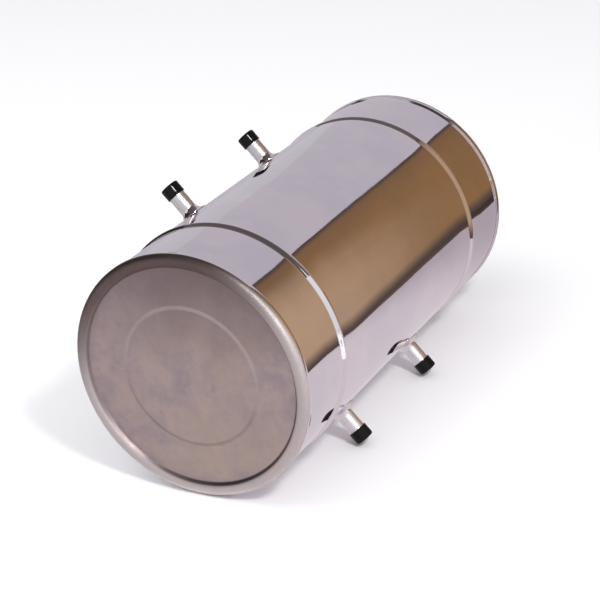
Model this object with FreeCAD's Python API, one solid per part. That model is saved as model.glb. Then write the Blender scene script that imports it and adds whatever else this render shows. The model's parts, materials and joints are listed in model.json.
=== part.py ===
import FreeCAD, Part
import math
import os
from FreeCAD import Vector

# Ultraviolet pond clarifier: a polished steel drum lying on its beads and its two lower port caps.
# The drum's axis runs along +Y, from the closed front head to the lamp head at the rear.
# Z is up, and the origin is under the middle of the whole object, on the surface it lies on.
# While it is built, the drum's axis is the Y axis and Y = 0 is the front rim's outermost plane.

# --- drum ---
drum_radius = 150.0
drum_length = 605.0
shell_wall = 1.2
bead_width = 10.5
bead_height = 3.0
front_bead_inset = 102.0
rear_bead_inset = 106.0

# --- heads ---
head_wall = 1.5
rim_overhang = 2.0
rim_roll_radius = 8.0
hem_length = 5.0
head_recess = 7.0
recess_fillet = 3.0
emboss_radius = 86.5
emboss_rise = 1.0
emboss_slope = 4.0

# --- ports ---
stub_outer_radius = 10.65
stub_wall = 1.6
stub_projection = 45.0
stub_inner_reach = 5.0
foot_height = 9.0
foot_spread = 8.0
foot_edge = 0.8
upper_port_gaps = (109.0, 88.0)
lower_port_gaps = (78.0, 119.0)

# --- push-on caps ---
cap_wall = 1.85
cap_end_wall = 2.0
cap_length = 16.5
cap_end_gap = 0.3
cap_edge_round = 2.0
cap_fit = 0.05
cap_seat_step = 0.2
cap_mouth_gap = 0.3

# --- lamp ---
lamp_tube_radius = 8.75
lamp_tube_pitch = 20.5
lamp_bridge_radius = 5.25
lamp_glass_length = 500.0
lamp_base_width = 23.0
lamp_base_height = 43.0
lamp_base_length = 24.0
lamp_base_round = 5.0
lamp_pin_count = 4
lamp_pin_radius = 1.2
lamp_pin_length = 6.5
lamp_pin_pitch = 8.0

# --- quartz sleeve, its socket and its seal ---
sleeve_lamp_gap = 3.0
sleeve_wall = 2.0
sleeve_clearance = 0.6
sleeve_front_gap = 22.0
sleeve_dome_depth = 10.0
sleeve_mouth_inset = 2.0
oring_section = 4.0
oring_round = 1.0
nut_step = 3.0
nut_length = 11.0
nut_notch_width = 5.0
nut_notch_depth = 4.0
nut_notch_count = 6
socket_wall = 1.2
socket_depth = 34.0
socket_flange = 9.0
cushion_thickness = 8.0

# --- lamp neck ---
neck_wall = 7.0
neck_inner_reach = 8.0
neck_projection = 30.0

# --- what the lamp head holds ---
holder_lip = 1.0
holder_depth = 16.0
bracket_thickness = 1.5
bracket_inset = 4.0
bracket_end_reach = 7.0
post_gap = 11.5
post_radius = 3.5
post_screw_radius = 1.5
post_screw_depth = 8.0
post_screw_head = 2.0
choke_gap = 2.0
choke_width = 26.0
choke_height = 52.0
choke_length = 44.0
winding_inset = 12.0
winding_depth = 3.0
winding_recess = 0.4
winding_margin = 6.0
terminal_gap = 8.5
terminal_width = 16.0
terminal_height = 40.0
terminal_depth = 18.0
terminal_ways = 4
terminal_well_radius = 3.0
terminal_well_depth = 8.0

# --- lamp head ---
case_side_gap = 5.0
case_end_gap = 11.0
head_case_wall = 3.0
flange_step = 5.0
flange_thickness = 4.0
gasket_thickness = 1.2
throat_step = 2.0
throat_length = 11.0
throat_clearance = 2.6
cover_thickness = 4.0
cover_edge_round = 2.5
cover_gasket_thickness = 1.0
cover_gasket_inset = 0.4
boss_radius = 5.0
boss_inset = 9.5
screw_count = 4
screw_radius = 1.5
screw_head_radius = 3.0
screw_head_height = 1.8
screw_head_sink = 0.2
screw_socket_depth = 1.1
screw_length = 14.0
lens_radius = 4.0
lens_rise = 1.5

# --- locking ring ---
ring_fit = 0.1
ring_gap = 0.3
ring_wall = 6.0
ring_reach = 20.0
ring_lip = 3.5
ring_rib_count = 24
ring_rib_radius = 2.6

# --- cable gland ---
gland_radius = 6.0
gland_bore = 3.6
gland_hex = 9.5
gland_collar = 4.0
gland_spot_margin = 1.0
gland_spot_depth = 1.0
gland_inner_reach = 5.0
gland_thread_length = 9.0
gland_seal_wall = 1.2
gland_fit = 0.05
gland_from_rear = 22.0
gland_nut_inset = 0.8
gland_nut_gap = 0.4
gland_nut_end_wall = 2.6

# --- earth stud ---
earth_radius = 3.0
earth_length = 14.0
earth_gap = 9.5
earth_hex = 5.5
earth_nut_count = 2
earth_nut_height = 3.0
washer_margin = 1.0
washer_thickness = 1.2

SAME_PLACE = 1e-4
CUT_MARGIN = 1.0
Y_AXIS = Vector(0, 1, 0)
ORIGIN = Vector(0, 0, 0)


def ring_point(radius, along):
    """A point of a profile that is turned about the drum's axis."""
    return Vector(radius, along, 0)


def turned(edges):
    """Turn a closed chain of edges, drawn in radius and Y, about the Y axis."""
    face = Part.Face(Part.Wire(edges))
    return face.revolve(ORIGIN, Y_AXIS, 360)


def turned_outline(points):
    """Turn a straight-sided outline about the Y axis."""
    corners = [ring_point(*point) for point in points]
    corners.append(corners[0])
    return turned(Part.makePolygon(corners).Edges)


def line(start, end):
    """A straight profile edge between two radius and Y points."""
    return Part.LineSegment(ring_point(*start), ring_point(*end)).toShape()


def arc(start, middle, end):
    """A round profile edge through three radius and Y points."""
    return Part.Arc(ring_point(*start), ring_point(*middle), ring_point(*end)).toShape()


def bulge_middle(radius, depth):
    """Radius and rise of the point half way out on a round bulge that has its centre on the axis."""
    sphere = (radius ** 2 + depth ** 2) / (2 * depth)
    half_way = radius / 2
    return half_way, math.sqrt(sphere ** 2 - half_way ** 2) - (sphere - depth)


def rod(radius, start, end, centre=(0.0, 0.0)):
    """A cylinder along Y from one Y to another, its axis through the given X and Z."""
    return Part.makeCylinder(radius, end - start, Vector(centre[0], start, centre[1]), Y_AXIS)


def tube(outer, inner, start, end, centre=(0.0, 0.0)):
    """A pipe along Y."""
    return rod(outer, start, end, centre).cut(rod(inner, start, end, centre))


def block(low, high):
    """A box from its lowest to its highest corner."""
    size = [high[k] - low[k] for k in range(3)]
    return Part.makeBox(size[0], size[1], size[2], Vector(*low))


def hexagon(across_half, start, end, centre=(0.0, 0.0)):
    """A hexagonal prism along Y whose corners lie on the given radius."""
    corners = []
    for step in range(7):
        turn = math.radians(60 * step)
        x = centre[0] + across_half * math.cos(turn)
        z = centre[1] + across_half * math.sin(turn)
        corners.append(Vector(x, start, z))
    return Part.Face(Part.makePolygon(corners)).extrude(Vector(0, end - start, 0))


def solid_of(shape):
    """The one solid that a boolean left, without its wrapping compound."""
    shape = shape.removeSplitter()
    if len(shape.Solids) == 1:
        return shape.Solids[0]
    return Part.makeCompound(shape.Solids)


# --- drum shell ---

shell_start = rim_roll_radius
shell_end = drum_length - rim_roll_radius
front_bead = front_bead_inset
rear_bead = drum_length - rear_bead_inset


def shell_side(radius):
    """The edges of one face of the shell sheet, from front to rear, with its two beads."""
    edges = []
    last = (radius, shell_start)
    for place in (front_bead, rear_bead):
        bead_start = (radius, place - bead_width / 2)
        bead_end = (radius, place + bead_width / 2)
        edges.append(line(last, bead_start))
        edges.append(arc(bead_start, (radius + bead_height, place), bead_end))
        last = bead_end
    edges.append(line(last, (radius, shell_end)))
    return edges


shell_inner = drum_radius - shell_wall
sheet = shell_side(drum_radius) + shell_side(shell_inner)
sheet.append(line((drum_radius, shell_start), (shell_inner, shell_start)))
sheet.append(line((drum_radius, shell_end), (shell_inner, shell_end)))
drum_shell = turned(Part.__sortEdges__(sheet))

# --- ports: how far round the drum they point ---

cap_seat_radius = stub_outer_radius - cap_seat_step
cap_bore = cap_seat_radius + cap_fit
cap_outer_radius = cap_bore + cap_wall
stub_end = drum_radius + stub_projection
cap_end = stub_end + cap_end_gap + cap_end_wall
cap_mouth = cap_end - cap_length
bead_radius = drum_radius + bead_height

# The lower caps just touch the surface that the beads lie on: the cap's rounded corner is there.
corner_reach = cap_end - cap_edge_round
corner_side = cap_outer_radius - cap_edge_round
port_tilt = math.asin((bead_radius - cap_edge_round) / math.hypot(corner_reach, corner_side))
port_tilt -= math.atan2(corner_side, corner_reach)

upper_way = Vector(-math.cos(port_tilt), 0, math.sin(port_tilt))
lower_way = Vector(math.cos(port_tilt), 0, -math.sin(port_tilt))
ports = {
    "upper_front": (upper_way, front_bead + upper_port_gaps[0]),
    "upper_rear": (upper_way, rear_bead - upper_port_gaps[1]),
    "lower_front": (lower_way, front_bead + lower_port_gaps[0]),
    "lower_rear": (lower_way, rear_bead - lower_port_gaps[1]),
}


def on_port(shape, way, inset):
    """Bring a shape that was built outwards along Y from the axis to its port."""
    placed = shape.copy()
    placed.Placement = FreeCAD.Placement(Vector(0, inset, 0), FreeCAD.Rotation(Y_AXIS, way))
    return placed


stub_bore = stub_outer_radius - stub_wall
foot_top = drum_radius + foot_height
foot_radius = stub_outer_radius + foot_spread
foot_floor = shell_inner

# The flare is an arc from the foot's edge that runs into the pipe without a corner.
flare_start = (foot_radius, drum_radius + foot_edge)
flare_rise = foot_height - foot_edge
flare = (foot_spread ** 2 + flare_rise ** 2) / (2 * foot_spread)
half_flare = math.atan2(flare_rise, flare - foot_spread) / 2
flare_middle = (stub_outer_radius + flare * (1 - math.cos(half_flare)),
                foot_top - flare * math.sin(half_flare))
foot = turned([
    line((stub_bore, foot_floor), (foot_radius, foot_floor)),
    line((foot_radius, foot_floor), flare_start),
    arc(flare_start, flare_middle, (stub_outer_radius, foot_top)),
    line((stub_outer_radius, foot_top), (stub_bore, foot_top)),
    line((stub_bore, foot_top), (stub_bore, foot_floor)),
])
cap_seat_start = cap_mouth - cap_mouth_gap
stub_pipe = tube(stub_outer_radius, stub_bore, drum_radius - stub_inner_reach, cap_seat_start)
stub_pipe = stub_pipe.fuse(tube(cap_seat_radius, stub_bore, cap_seat_start, stub_end))
hole_cutter = rod(stub_outer_radius, drum_radius / 2, stub_end)

port_stubs = {}
for name, (way, inset) in ports.items():
    drum_core = rod(drum_radius, inset - 2 * foot_radius, inset + 2 * foot_radius)
    saddle_foot = on_port(foot, way, inset).cut(drum_core)
    port_stubs[name] = solid_of(saddle_foot.fuse(on_port(stub_pipe, way, inset)))
    drum_shell = drum_shell.cut(on_port(hole_cutter, way, inset))
drum_shell = solid_of(drum_shell)

# --- push-on caps ---

round_middle = cap_edge_round * (1 - math.sqrt(0.5))
port_cap = turned([
    line((cap_bore, cap_mouth), (cap_outer_radius, cap_mouth)),
    line((cap_outer_radius, cap_mouth), (cap_outer_radius, cap_end - cap_edge_round)),
    arc((cap_outer_radius, cap_end - cap_edge_round),
        (cap_outer_radius - round_middle, cap_end - round_middle),
        (cap_outer_radius - cap_edge_round, cap_end)),
    line((cap_outer_radius - cap_edge_round, cap_end), (0, cap_end)),
    line((0, cap_end), (0, cap_end - cap_end_wall)),
    line((0, cap_end - cap_end_wall), (cap_bore, cap_end - cap_end_wall)),
    line((cap_bore, cap_end - cap_end_wall), (cap_bore, cap_mouth)),
])
port_caps = {name: on_port(port_cap, way, inset) for name, (way, inset) in ports.items()}

# --- heads: a recessed disc inside a rolled rim that wraps over the shell's end ---

hem_radius = drum_radius + rim_overhang
roll_centre = (hem_radius - rim_roll_radius, rim_roll_radius)
disc_radius = hem_radius - 2 * rim_roll_radius
inner_roll = rim_roll_radius - rim_overhang

# The recess fillet is tangent to the disc's face and to the rolled rim.
fillet_along = head_recess - recess_fillet
fillet_span = rim_roll_radius + recess_fillet
fillet_drop = roll_centre[1] - fillet_along
fillet_radius_place = roll_centre[0] - math.sqrt(fillet_span ** 2 - fillet_drop ** 2)
touch_share = rim_roll_radius / fillet_span
touch = (roll_centre[0] + (fillet_radius_place - roll_centre[0]) * touch_share,
         roll_centre[1] + (fillet_along - roll_centre[1]) * touch_share)
bisector = math.atan2(touch[1] - fillet_along, touch[0] - fillet_radius_place) / 2 + math.pi / 4
fillet_middle = (fillet_radius_place + recess_fillet * math.cos(bisector),
                 fillet_along + recess_fillet * math.sin(bisector))


def head_profile(panel_rise):
    """The closed profile of a spun head whose centre panel stands proud of its disc."""
    panel = head_recess - panel_rise
    panel_edge = emboss_radius - emboss_slope / 2
    disc_edge = emboss_radius + emboss_slope / 2
    crown = (roll_centre[0], 0)
    hem_end = rim_roll_radius + hem_length
    back = head_recess + head_wall
    return [
        line((0, panel), (panel_edge, panel)),
        line((panel_edge, panel), (disc_edge, head_recess)),
        line((disc_edge, head_recess), (fillet_radius_place, head_recess)),
        arc((fillet_radius_place, head_recess), fillet_middle, touch),
        arc(touch, crown, (hem_radius, rim_roll_radius)),
        line((hem_radius, rim_roll_radius), (hem_radius, hem_end)),
        line((hem_radius, hem_end), (drum_radius, hem_end)),
        line((drum_radius, hem_end), (drum_radius, rim_roll_radius)),
        arc((drum_radius, rim_roll_radius), (roll_centre[0], rim_roll_radius - inner_roll),
            (disc_radius + rim_overhang, rim_roll_radius)),
        line((disc_radius + rim_overhang, rim_roll_radius), (disc_radius + rim_overhang, back)),
        line((disc_radius + rim_overhang, back), (disc_edge, back)),
        line((disc_edge, back), (panel_edge, back - panel_rise)),
        line((panel_edge, back - panel_rise), (0, back - panel_rise)),
        line((0, back - panel_rise), (0, panel)),
    ]


def at_rear(shape):
    """The same shape turned end for end, at the rear of the drum."""
    placed = shape.copy()
    placed.Placement = FreeCAD.Placement(Vector(0, drum_length, 0),
                                         FreeCAD.Rotation(Vector(0, 0, 1), 180))
    return placed


front_head = turned(head_profile(emboss_rise))
rear_head = at_rear(turned(head_profile(emboss_rise)))
rear_disc = drum_length - head_recess + emboss_rise
rear_disc_back = rear_disc - head_wall

# --- lamp neck: a turned collar welded into the rear head ---

sleeve_bore = lamp_tube_pitch / 2 + lamp_tube_radius + sleeve_lamp_gap
sleeve_radius = sleeve_bore + sleeve_wall
oring_radius = sleeve_radius + oring_section
nut_radius = oring_radius + nut_step
neck_radius = nut_radius + neck_wall
neck_bore = sleeve_radius + sleeve_clearance
neck_start = rear_disc_back - neck_inner_reach
neck_end = rear_disc + neck_projection
nut_end = neck_end - sleeve_mouth_inset
nut_start = nut_end - nut_length
oring_start = nut_start - oring_section
lamp_neck = turned_outline([
    (neck_bore, neck_start), (neck_radius, neck_start), (neck_radius, neck_end),
    (nut_radius, neck_end), (nut_radius, nut_start), (oring_radius, nut_start),
    (oring_radius, oring_start), (neck_bore, oring_start),
])
rear_head = solid_of(rear_head.cut(rod(neck_radius, neck_start, neck_end)))

# --- quartz sleeve, its seal ring and its nut ---

front_inner = head_recess - emboss_rise + head_wall
sleeve_start = front_inner + sleeve_front_gap
sleeve_end = nut_end
dome_edge = sleeve_start + sleeve_dome_depth


def dome(radius, tip):
    """A round end that rises to its tip from the sleeve's straight wall."""
    half_way, rise = bulge_middle(radius, dome_edge - tip)
    return arc((0, tip), (half_way, dome_edge - rise), (radius, dome_edge))


quartz_sleeve = turned([
    dome(sleeve_radius, sleeve_start),
    line((sleeve_radius, dome_edge), (sleeve_radius, sleeve_end)),
    line((sleeve_radius, sleeve_end), (sleeve_bore, sleeve_end)),
    line((sleeve_bore, sleeve_end), (sleeve_bore, dome_edge)),
    dome(sleeve_bore, sleeve_start + sleeve_wall),
    line((0, sleeve_start + sleeve_wall), (0, sleeve_start)),
])

sleeve_o_ring = tube(oring_radius, sleeve_radius, oring_start, nut_start)
sleeve_o_ring = sleeve_o_ring.makeFillet(oring_round, [
    edge for edge in sleeve_o_ring.Edges if isinstance(edge.Curve, Part.Circle)
    and abs(edge.Curve.Radius - oring_radius) < SAME_PLACE
])

sleeve_nut = tube(nut_radius, neck_bore, nut_start, nut_end)
for step in range(nut_notch_count):
    notch = block((neck_bore - CUT_MARGIN, nut_end - nut_notch_depth, -nut_notch_width / 2),
                  (nut_radius + CUT_MARGIN, nut_end + CUT_MARGIN, nut_notch_width / 2))
    notch.rotate(ORIGIN, Y_AXIS, 360 * step / nut_notch_count)
    sleeve_nut = sleeve_nut.cut(notch)
sleeve_nut = solid_of(sleeve_nut)

# --- socket and cushion that carry the sleeve's closed end ---

socket_bore = sleeve_radius + sleeve_clearance
socket_radius = socket_bore + socket_wall
sleeve_socket = turned_outline([
    (socket_bore, front_inner), (socket_radius + socket_flange, front_inner),
    (socket_radius + socket_flange, front_inner + socket_wall),
    (socket_radius, front_inner + socket_wall),
    (socket_radius, front_inner + socket_depth), (socket_bore, front_inner + socket_depth),
])
cushion_block = rod(socket_bore, front_inner, sleeve_start + cushion_thickness)
sleeve_space = turned([
    dome(sleeve_radius, sleeve_start),
    line((sleeve_radius, dome_edge), (0, dome_edge)),
    line((0, dome_edge), (0, sleeve_start)),
])
sleeve_cushion = solid_of(cushion_block.cut(sleeve_space))

# --- lamp head casing: as wide and as long as what it holds needs ---

holder_width = lamp_base_width + 2 * holder_lip
holder_height = lamp_base_height + 2 * holder_lip
choke_low = holder_width / 2 + choke_gap
choke_high = choke_low + choke_width
case_inner = math.hypot(choke_high, choke_height / 2) + case_side_gap
head_radius = case_inner + head_case_wall
throat_opening = math.hypot(lamp_base_width / 2, lamp_base_height / 2) + throat_clearance
throat_radius = neck_radius - throat_step
flange_radius = neck_radius + flange_step
gasket_start = neck_end
flange_start = gasket_start + gasket_thickness
flange_end = flange_start + flange_thickness
throat_end = flange_start + throat_length
case_start = throat_end
floor_end = case_start + head_case_wall
case_end = floor_end + choke_length + case_end_gap

head_gasket = tube(neck_radius, nut_radius, gasket_start, flange_start)

head_housing = turned_outline([
    (throat_opening, flange_start), (flange_radius, flange_start), (flange_radius, flange_end),
    (throat_radius, flange_end), (throat_radius, case_start), (head_radius, case_start),
    (head_radius, case_end), (case_inner, case_end), (case_inner, floor_end),
    (throat_opening, floor_end),
])


def around(radius, count, first_turn=45.0):
    """X and Z of points evenly spaced on a circle about the drum's axis."""
    places = []
    for step in range(count):
        turn = math.radians(first_turn + 360.0 * step / count)
        places.append((radius * math.cos(turn), radius * math.sin(turn)))
    return places


screw_places = around(head_radius - boss_inset, screw_count)
case_space = rod(head_radius - head_case_wall / 2, floor_end, case_end)
for place in screw_places:
    boss = rod(boss_radius, floor_end - head_case_wall / 2, case_end, place).common(case_space)
    head_housing = head_housing.fuse(boss)
cover_seat = case_end + cover_gasket_thickness
cover_end = cover_seat + cover_thickness
screw_seat = cover_end - screw_head_height
screw_tip = screw_seat - screw_length
for place in screw_places:
    head_housing = head_housing.cut(rod(screw_radius, screw_tip, case_end, place))

gland_along = cover_end - gland_from_rear
down = Vector(0, 0, -1)


def on_gland(shape):
    """Bring a shape that was built outwards along Y to the gland under the casing."""
    placed = shape.copy()
    placed.Placement = FreeCAD.Placement(Vector(0, gland_along, 0),
                                         FreeCAD.Rotation(Y_AXIS, down))
    return placed


gland_seat = head_radius - gland_spot_depth
gland_inner_end = gland_seat - gland_inner_reach
gland_hole = rod(gland_radius, gland_inner_end, head_radius)
gland_spot = rod(gland_hex + gland_spot_margin, gland_seat, head_radius)
head_housing = head_housing.cut(on_gland(gland_hole))
head_housing = solid_of(head_housing.cut(on_gland(gland_spot)))

# --- cover, its gasket and screws, and the lamp-on window ---

cover_gasket = tube(head_radius - cover_gasket_inset, case_inner, case_end, cover_seat)
head_cover = rod(head_radius, cover_seat, cover_end)
head_cover = head_cover.makeFillet(cover_edge_round, [
    edge for edge in head_cover.Edges if isinstance(edge.Curve, Part.Circle)
    and abs(edge.Curve.Center.y - cover_end) < SAME_PLACE
])
screws = []
for place in screw_places:
    head_cover = head_cover.cut(rod(screw_radius, cover_seat, cover_end, place))
    head_cover = head_cover.cut(rod(screw_head_radius, screw_seat, cover_end, place))
    shank = rod(screw_radius, screw_tip, screw_seat, place)
    screw_top = cover_end - screw_head_sink
    socket = hexagon(screw_radius, screw_top - screw_socket_depth, screw_top, place)
    top = rod(screw_head_radius, screw_seat, screw_top, place).cut(socket)
    screws.append(solid_of(shank.fuse(top)))
cover_screws = Part.makeCompound(screws)
head_cover = head_cover.cut(rod(lens_radius, cover_seat, cover_end))
lens_half_way, lens_half_rise = bulge_middle(lens_radius, lens_rise)
indicator_lens = turned([
    line((0, cover_seat), (lens_radius, cover_seat)),
    line((lens_radius, cover_seat), (lens_radius, cover_end)),
    arc((lens_radius, cover_end), (lens_half_way, cover_end + lens_half_rise),
        (0, cover_end + lens_rise)),
    line((0, cover_end + lens_rise), (0, cover_seat)),
])

# --- locking ring: pulls the casing's flange against the neck ---

ring_start = neck_end - ring_reach
ring_end = flange_end + ring_gap + ring_lip
ring_radius = flange_radius + ring_gap + ring_wall
locking_ring = turned_outline([
    (neck_radius + ring_fit, ring_start), (ring_radius, ring_start), (ring_radius, ring_end),
    (throat_radius + ring_gap, ring_end), (throat_radius + ring_gap, flange_end + ring_gap),
    (flange_radius + ring_gap, flange_end + ring_gap),
    (flange_radius + ring_gap, gasket_start - ring_gap),
    (neck_radius + ring_fit, gasket_start - ring_gap),
])
for place in around(ring_radius, ring_rib_count, 0.0):
    locking_ring = locking_ring.cut(rod(ring_rib_radius, ring_start, ring_end, place))
locking_ring = solid_of(locking_ring)

# --- twin-tube lamp, its base, pins and holder ---

base_start = case_start
base_end = base_start + lamp_base_length
glass_start = base_start - lamp_glass_length
limbs = []
for side in (-0.5, 0.5):
    limb = rod(lamp_tube_radius, glass_start + lamp_tube_radius, base_start,
               (0.0, side * lamp_tube_pitch))
    tip = Part.makeSphere(lamp_tube_radius, Vector(0, glass_start + lamp_tube_radius,
                                                   side * lamp_tube_pitch))
    limbs.append(limb.fuse(tip))
bridge = Part.makeCylinder(lamp_bridge_radius, lamp_tube_pitch,
                           Vector(0, glass_start + 2 * lamp_tube_radius, -lamp_tube_pitch / 2),
                           Vector(0, 0, 1))
uv_lamp_tubes = solid_of(limbs[0].fuse(limbs[1]).fuse(bridge))

lamp_base = block((-lamp_base_width / 2, base_start, -lamp_base_height / 2),
                  (lamp_base_width / 2, base_end, lamp_base_height / 2))
lamp_base = lamp_base.makeFillet(lamp_base_round, [
    edge for edge in lamp_base.Edges
    if abs(edge.Vertexes[0].Point.y - edge.Vertexes[1].Point.y) > SAME_PLACE
])
pin_row_half = (lamp_pin_count - 1) * lamp_pin_pitch / 2
pin_rows = [(0.0, step * lamp_pin_pitch - pin_row_half) for step in range(lamp_pin_count)]
lamp_pins = Part.makeCompound([
    rod(lamp_pin_radius, base_end, base_end + lamp_pin_length, place) for place in pin_rows
])
holder_end = base_end + holder_depth
lamp_holder = block((-holder_width / 2, base_end, -holder_height / 2),
                    (holder_width / 2, holder_end, holder_height / 2))
for place in pin_rows:
    pin_hole = rod(lamp_pin_radius, base_end, base_end + lamp_pin_length, place)
    lamp_holder = lamp_holder.cut(pin_hole)

# The bracket is a strap across the casing that carries the holder, on two posts.
bracket_end = holder_end + bracket_thickness
post_place = holder_height / 2 + post_gap
bracket_half_width = holder_width / 2 - bracket_inset
bracket_half_length = post_place + bracket_end_reach
holder_bracket = block((-bracket_half_width, holder_end, -bracket_half_length),
                       (bracket_half_width, bracket_end, bracket_half_length))
post_places = [(0.0, -post_place), (0.0, post_place)]
for place in post_places:
    post = rod(post_radius, floor_end, holder_end, place)
    head_housing = head_housing.fuse(post)
holder_screw_list = []
for place in post_places:
    hole = rod(post_screw_radius, holder_end - post_screw_depth, bracket_end, place)
    head_housing = head_housing.cut(hole)
    holder_bracket = holder_bracket.cut(hole)
    head = rod(post_screw_radius * 2, bracket_end, bracket_end + post_screw_head, place)
    holder_screw_list.append(solid_of(hole.fuse(head)))
head_housing = solid_of(head_housing)
holder_screws = Part.makeCompound(holder_screw_list)

# --- choke ballast on the side of the lower ports, terminal block on the other ---

choke_start = floor_end
choke_end = choke_start + choke_length
core = block((choke_low, choke_start, -choke_height / 2),
             (choke_high, choke_end, choke_height / 2))
winding_start = choke_start + winding_inset
winding_end = choke_end - winding_inset
coil_half = choke_height / 2 - winding_margin
window = block((choke_low, winding_start, -choke_height / 2),
               (choke_low + winding_depth, winding_end, choke_height / 2))
ballast_choke = solid_of(core.cut(window))
choke_coil = block((choke_low + winding_recess, winding_start, -coil_half),
                   (choke_low + winding_depth, winding_end, coil_half))

terminal_start = floor_end
terminal_end = terminal_start + terminal_depth
terminal_offset = holder_width / 2 + terminal_gap + terminal_width / 2
terminal_block = block((-terminal_offset - terminal_width / 2, terminal_start,
                        -terminal_height / 2),
                       (-terminal_offset + terminal_width / 2, terminal_end,
                        terminal_height / 2))
way_pitch = terminal_height / terminal_ways
well_start = terminal_end - terminal_well_depth
for step in range(terminal_ways):
    height = (step + 0.5) * way_pitch - terminal_height / 2
    well = rod(terminal_well_radius, well_start, terminal_end, (-terminal_offset, height))
    terminal_block = terminal_block.cut(well)
terminal_block = solid_of(terminal_block)

# --- cable gland under the casing ---

gland_collar_end = gland_seat + gland_collar
gland_thread_end = gland_collar_end + gland_thread_length
gland_seal_radius = gland_bore + gland_seal_wall
gland_body = rod(gland_radius, gland_inner_end, gland_thread_end)
gland_body = gland_body.fuse(hexagon(gland_hex, gland_seat, gland_collar_end))
gland_body = gland_body.cut(rod(gland_seal_radius, gland_collar_end, gland_thread_end))
gland_body = solid_of(gland_body.cut(rod(gland_bore, gland_inner_end, gland_thread_end)))
gland_seal = tube(gland_seal_radius, gland_bore, gland_collar_end, gland_thread_end)
nut_seat = gland_collar_end + gland_nut_gap
nut_inner_end = gland_thread_end + gland_nut_gap
gland_nut_end = nut_inner_end + gland_nut_end_wall
gland_nut = rod(gland_hex - gland_nut_inset, nut_seat, gland_nut_end)
gland_nut = gland_nut.cut(rod(gland_radius + gland_fit, nut_seat, nut_inner_end))
gland_nut = solid_of(gland_nut.cut(rod(gland_bore, nut_seat, gland_nut_end)))

# --- earth stud on the rear head ---

earth_spot = (-emboss_radius - earth_gap, 0.0)
earth_disc = drum_length - head_recess
earth_stud = rod(earth_radius, earth_disc, earth_disc + earth_length, earth_spot)
washer_end = earth_disc + washer_thickness
nuts = [tube(earth_hex + washer_margin, earth_radius, earth_disc, washer_end, earth_spot)]
for step in range(earth_nut_count):
    nut_at = washer_end + step * earth_nut_height
    nut = hexagon(earth_hex, nut_at, nut_at + earth_nut_height, earth_spot)
    nuts.append(nut.cut(rod(earth_radius, nut_at, nut_at + earth_nut_height, earth_spot)))
earth_nuts = Part.makeCompound(nuts)

# --- name, place and write every piece ---

pieces = {
    "drum_shell": drum_shell,
    "front_head": front_head,
    "rear_head": rear_head,
    "lamp_neck": lamp_neck,
    "quartz_sleeve": quartz_sleeve,
    "sleeve_o_ring": sleeve_o_ring,
    "sleeve_nut": sleeve_nut,
    "sleeve_socket": sleeve_socket,
    "sleeve_cushion": sleeve_cushion,
    "head_gasket": head_gasket,
    "head_housing": head_housing,
    "head_cover": head_cover,
    "cover_gasket": cover_gasket,
    "cover_screws": cover_screws,
    "indicator_lens": indicator_lens,
    "locking_ring": locking_ring,
    "uv_lamp_tubes": uv_lamp_tubes,
    "lamp_base": lamp_base,
    "lamp_pins": lamp_pins,
    "lamp_holder": lamp_holder,
    "holder_bracket": holder_bracket,
    "holder_screws": holder_screws,
    "ballast_choke": ballast_choke,
    "choke_coil": choke_coil,
    "terminal_block": terminal_block,
    "gland_body": on_gland(gland_body),
    "gland_seal": on_gland(gland_seal),
    "gland_nut": on_gland(gland_nut),
    "earth_stud": earth_stud,
    "earth_nuts": earth_nuts,
}
for name in ports:
    pieces["port_stub_" + name] = port_stubs[name]
    pieces["port_cap_" + name] = port_caps[name]

overall_length = cover_end + lens_rise
to_rest = Vector(0, -overall_length / 2, bead_radius)

os.makedirs("parts", exist_ok=True)
for name, shape in pieces.items():
    placed = shape.copy()
    placed.translate(to_rest)
    placed.exportStep("parts/" + name + ".step")
    print(name, "solids", len(placed.Solids), "valid", placed.isValid(),
          "volume", round(placed.Volume, 1))

print("port tilt", math.degrees(port_tilt), "axis height", bead_radius)
print("shift along Y", to_rest.y, "overall length", overall_length)
print("head radius", head_radius, "gland from the axis", gland_inner_end, gland_nut_end)
print("port places", [inset + to_rest.y for way, inset in ports.values()])
print("bare stub", foot_top, cap_seat_start, "gland along", gland_along + to_rest.y)
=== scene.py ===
"""UV clarifier in its studio: the finished meshes, materials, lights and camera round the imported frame."""
from __future__ import annotations

import json
import logging
import math
from dataclasses import dataclass
from enum import Enum
from typing import Callable, Iterable, Sequence

import bmesh
import bpy
from mathutils import Matrix, Vector

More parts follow.
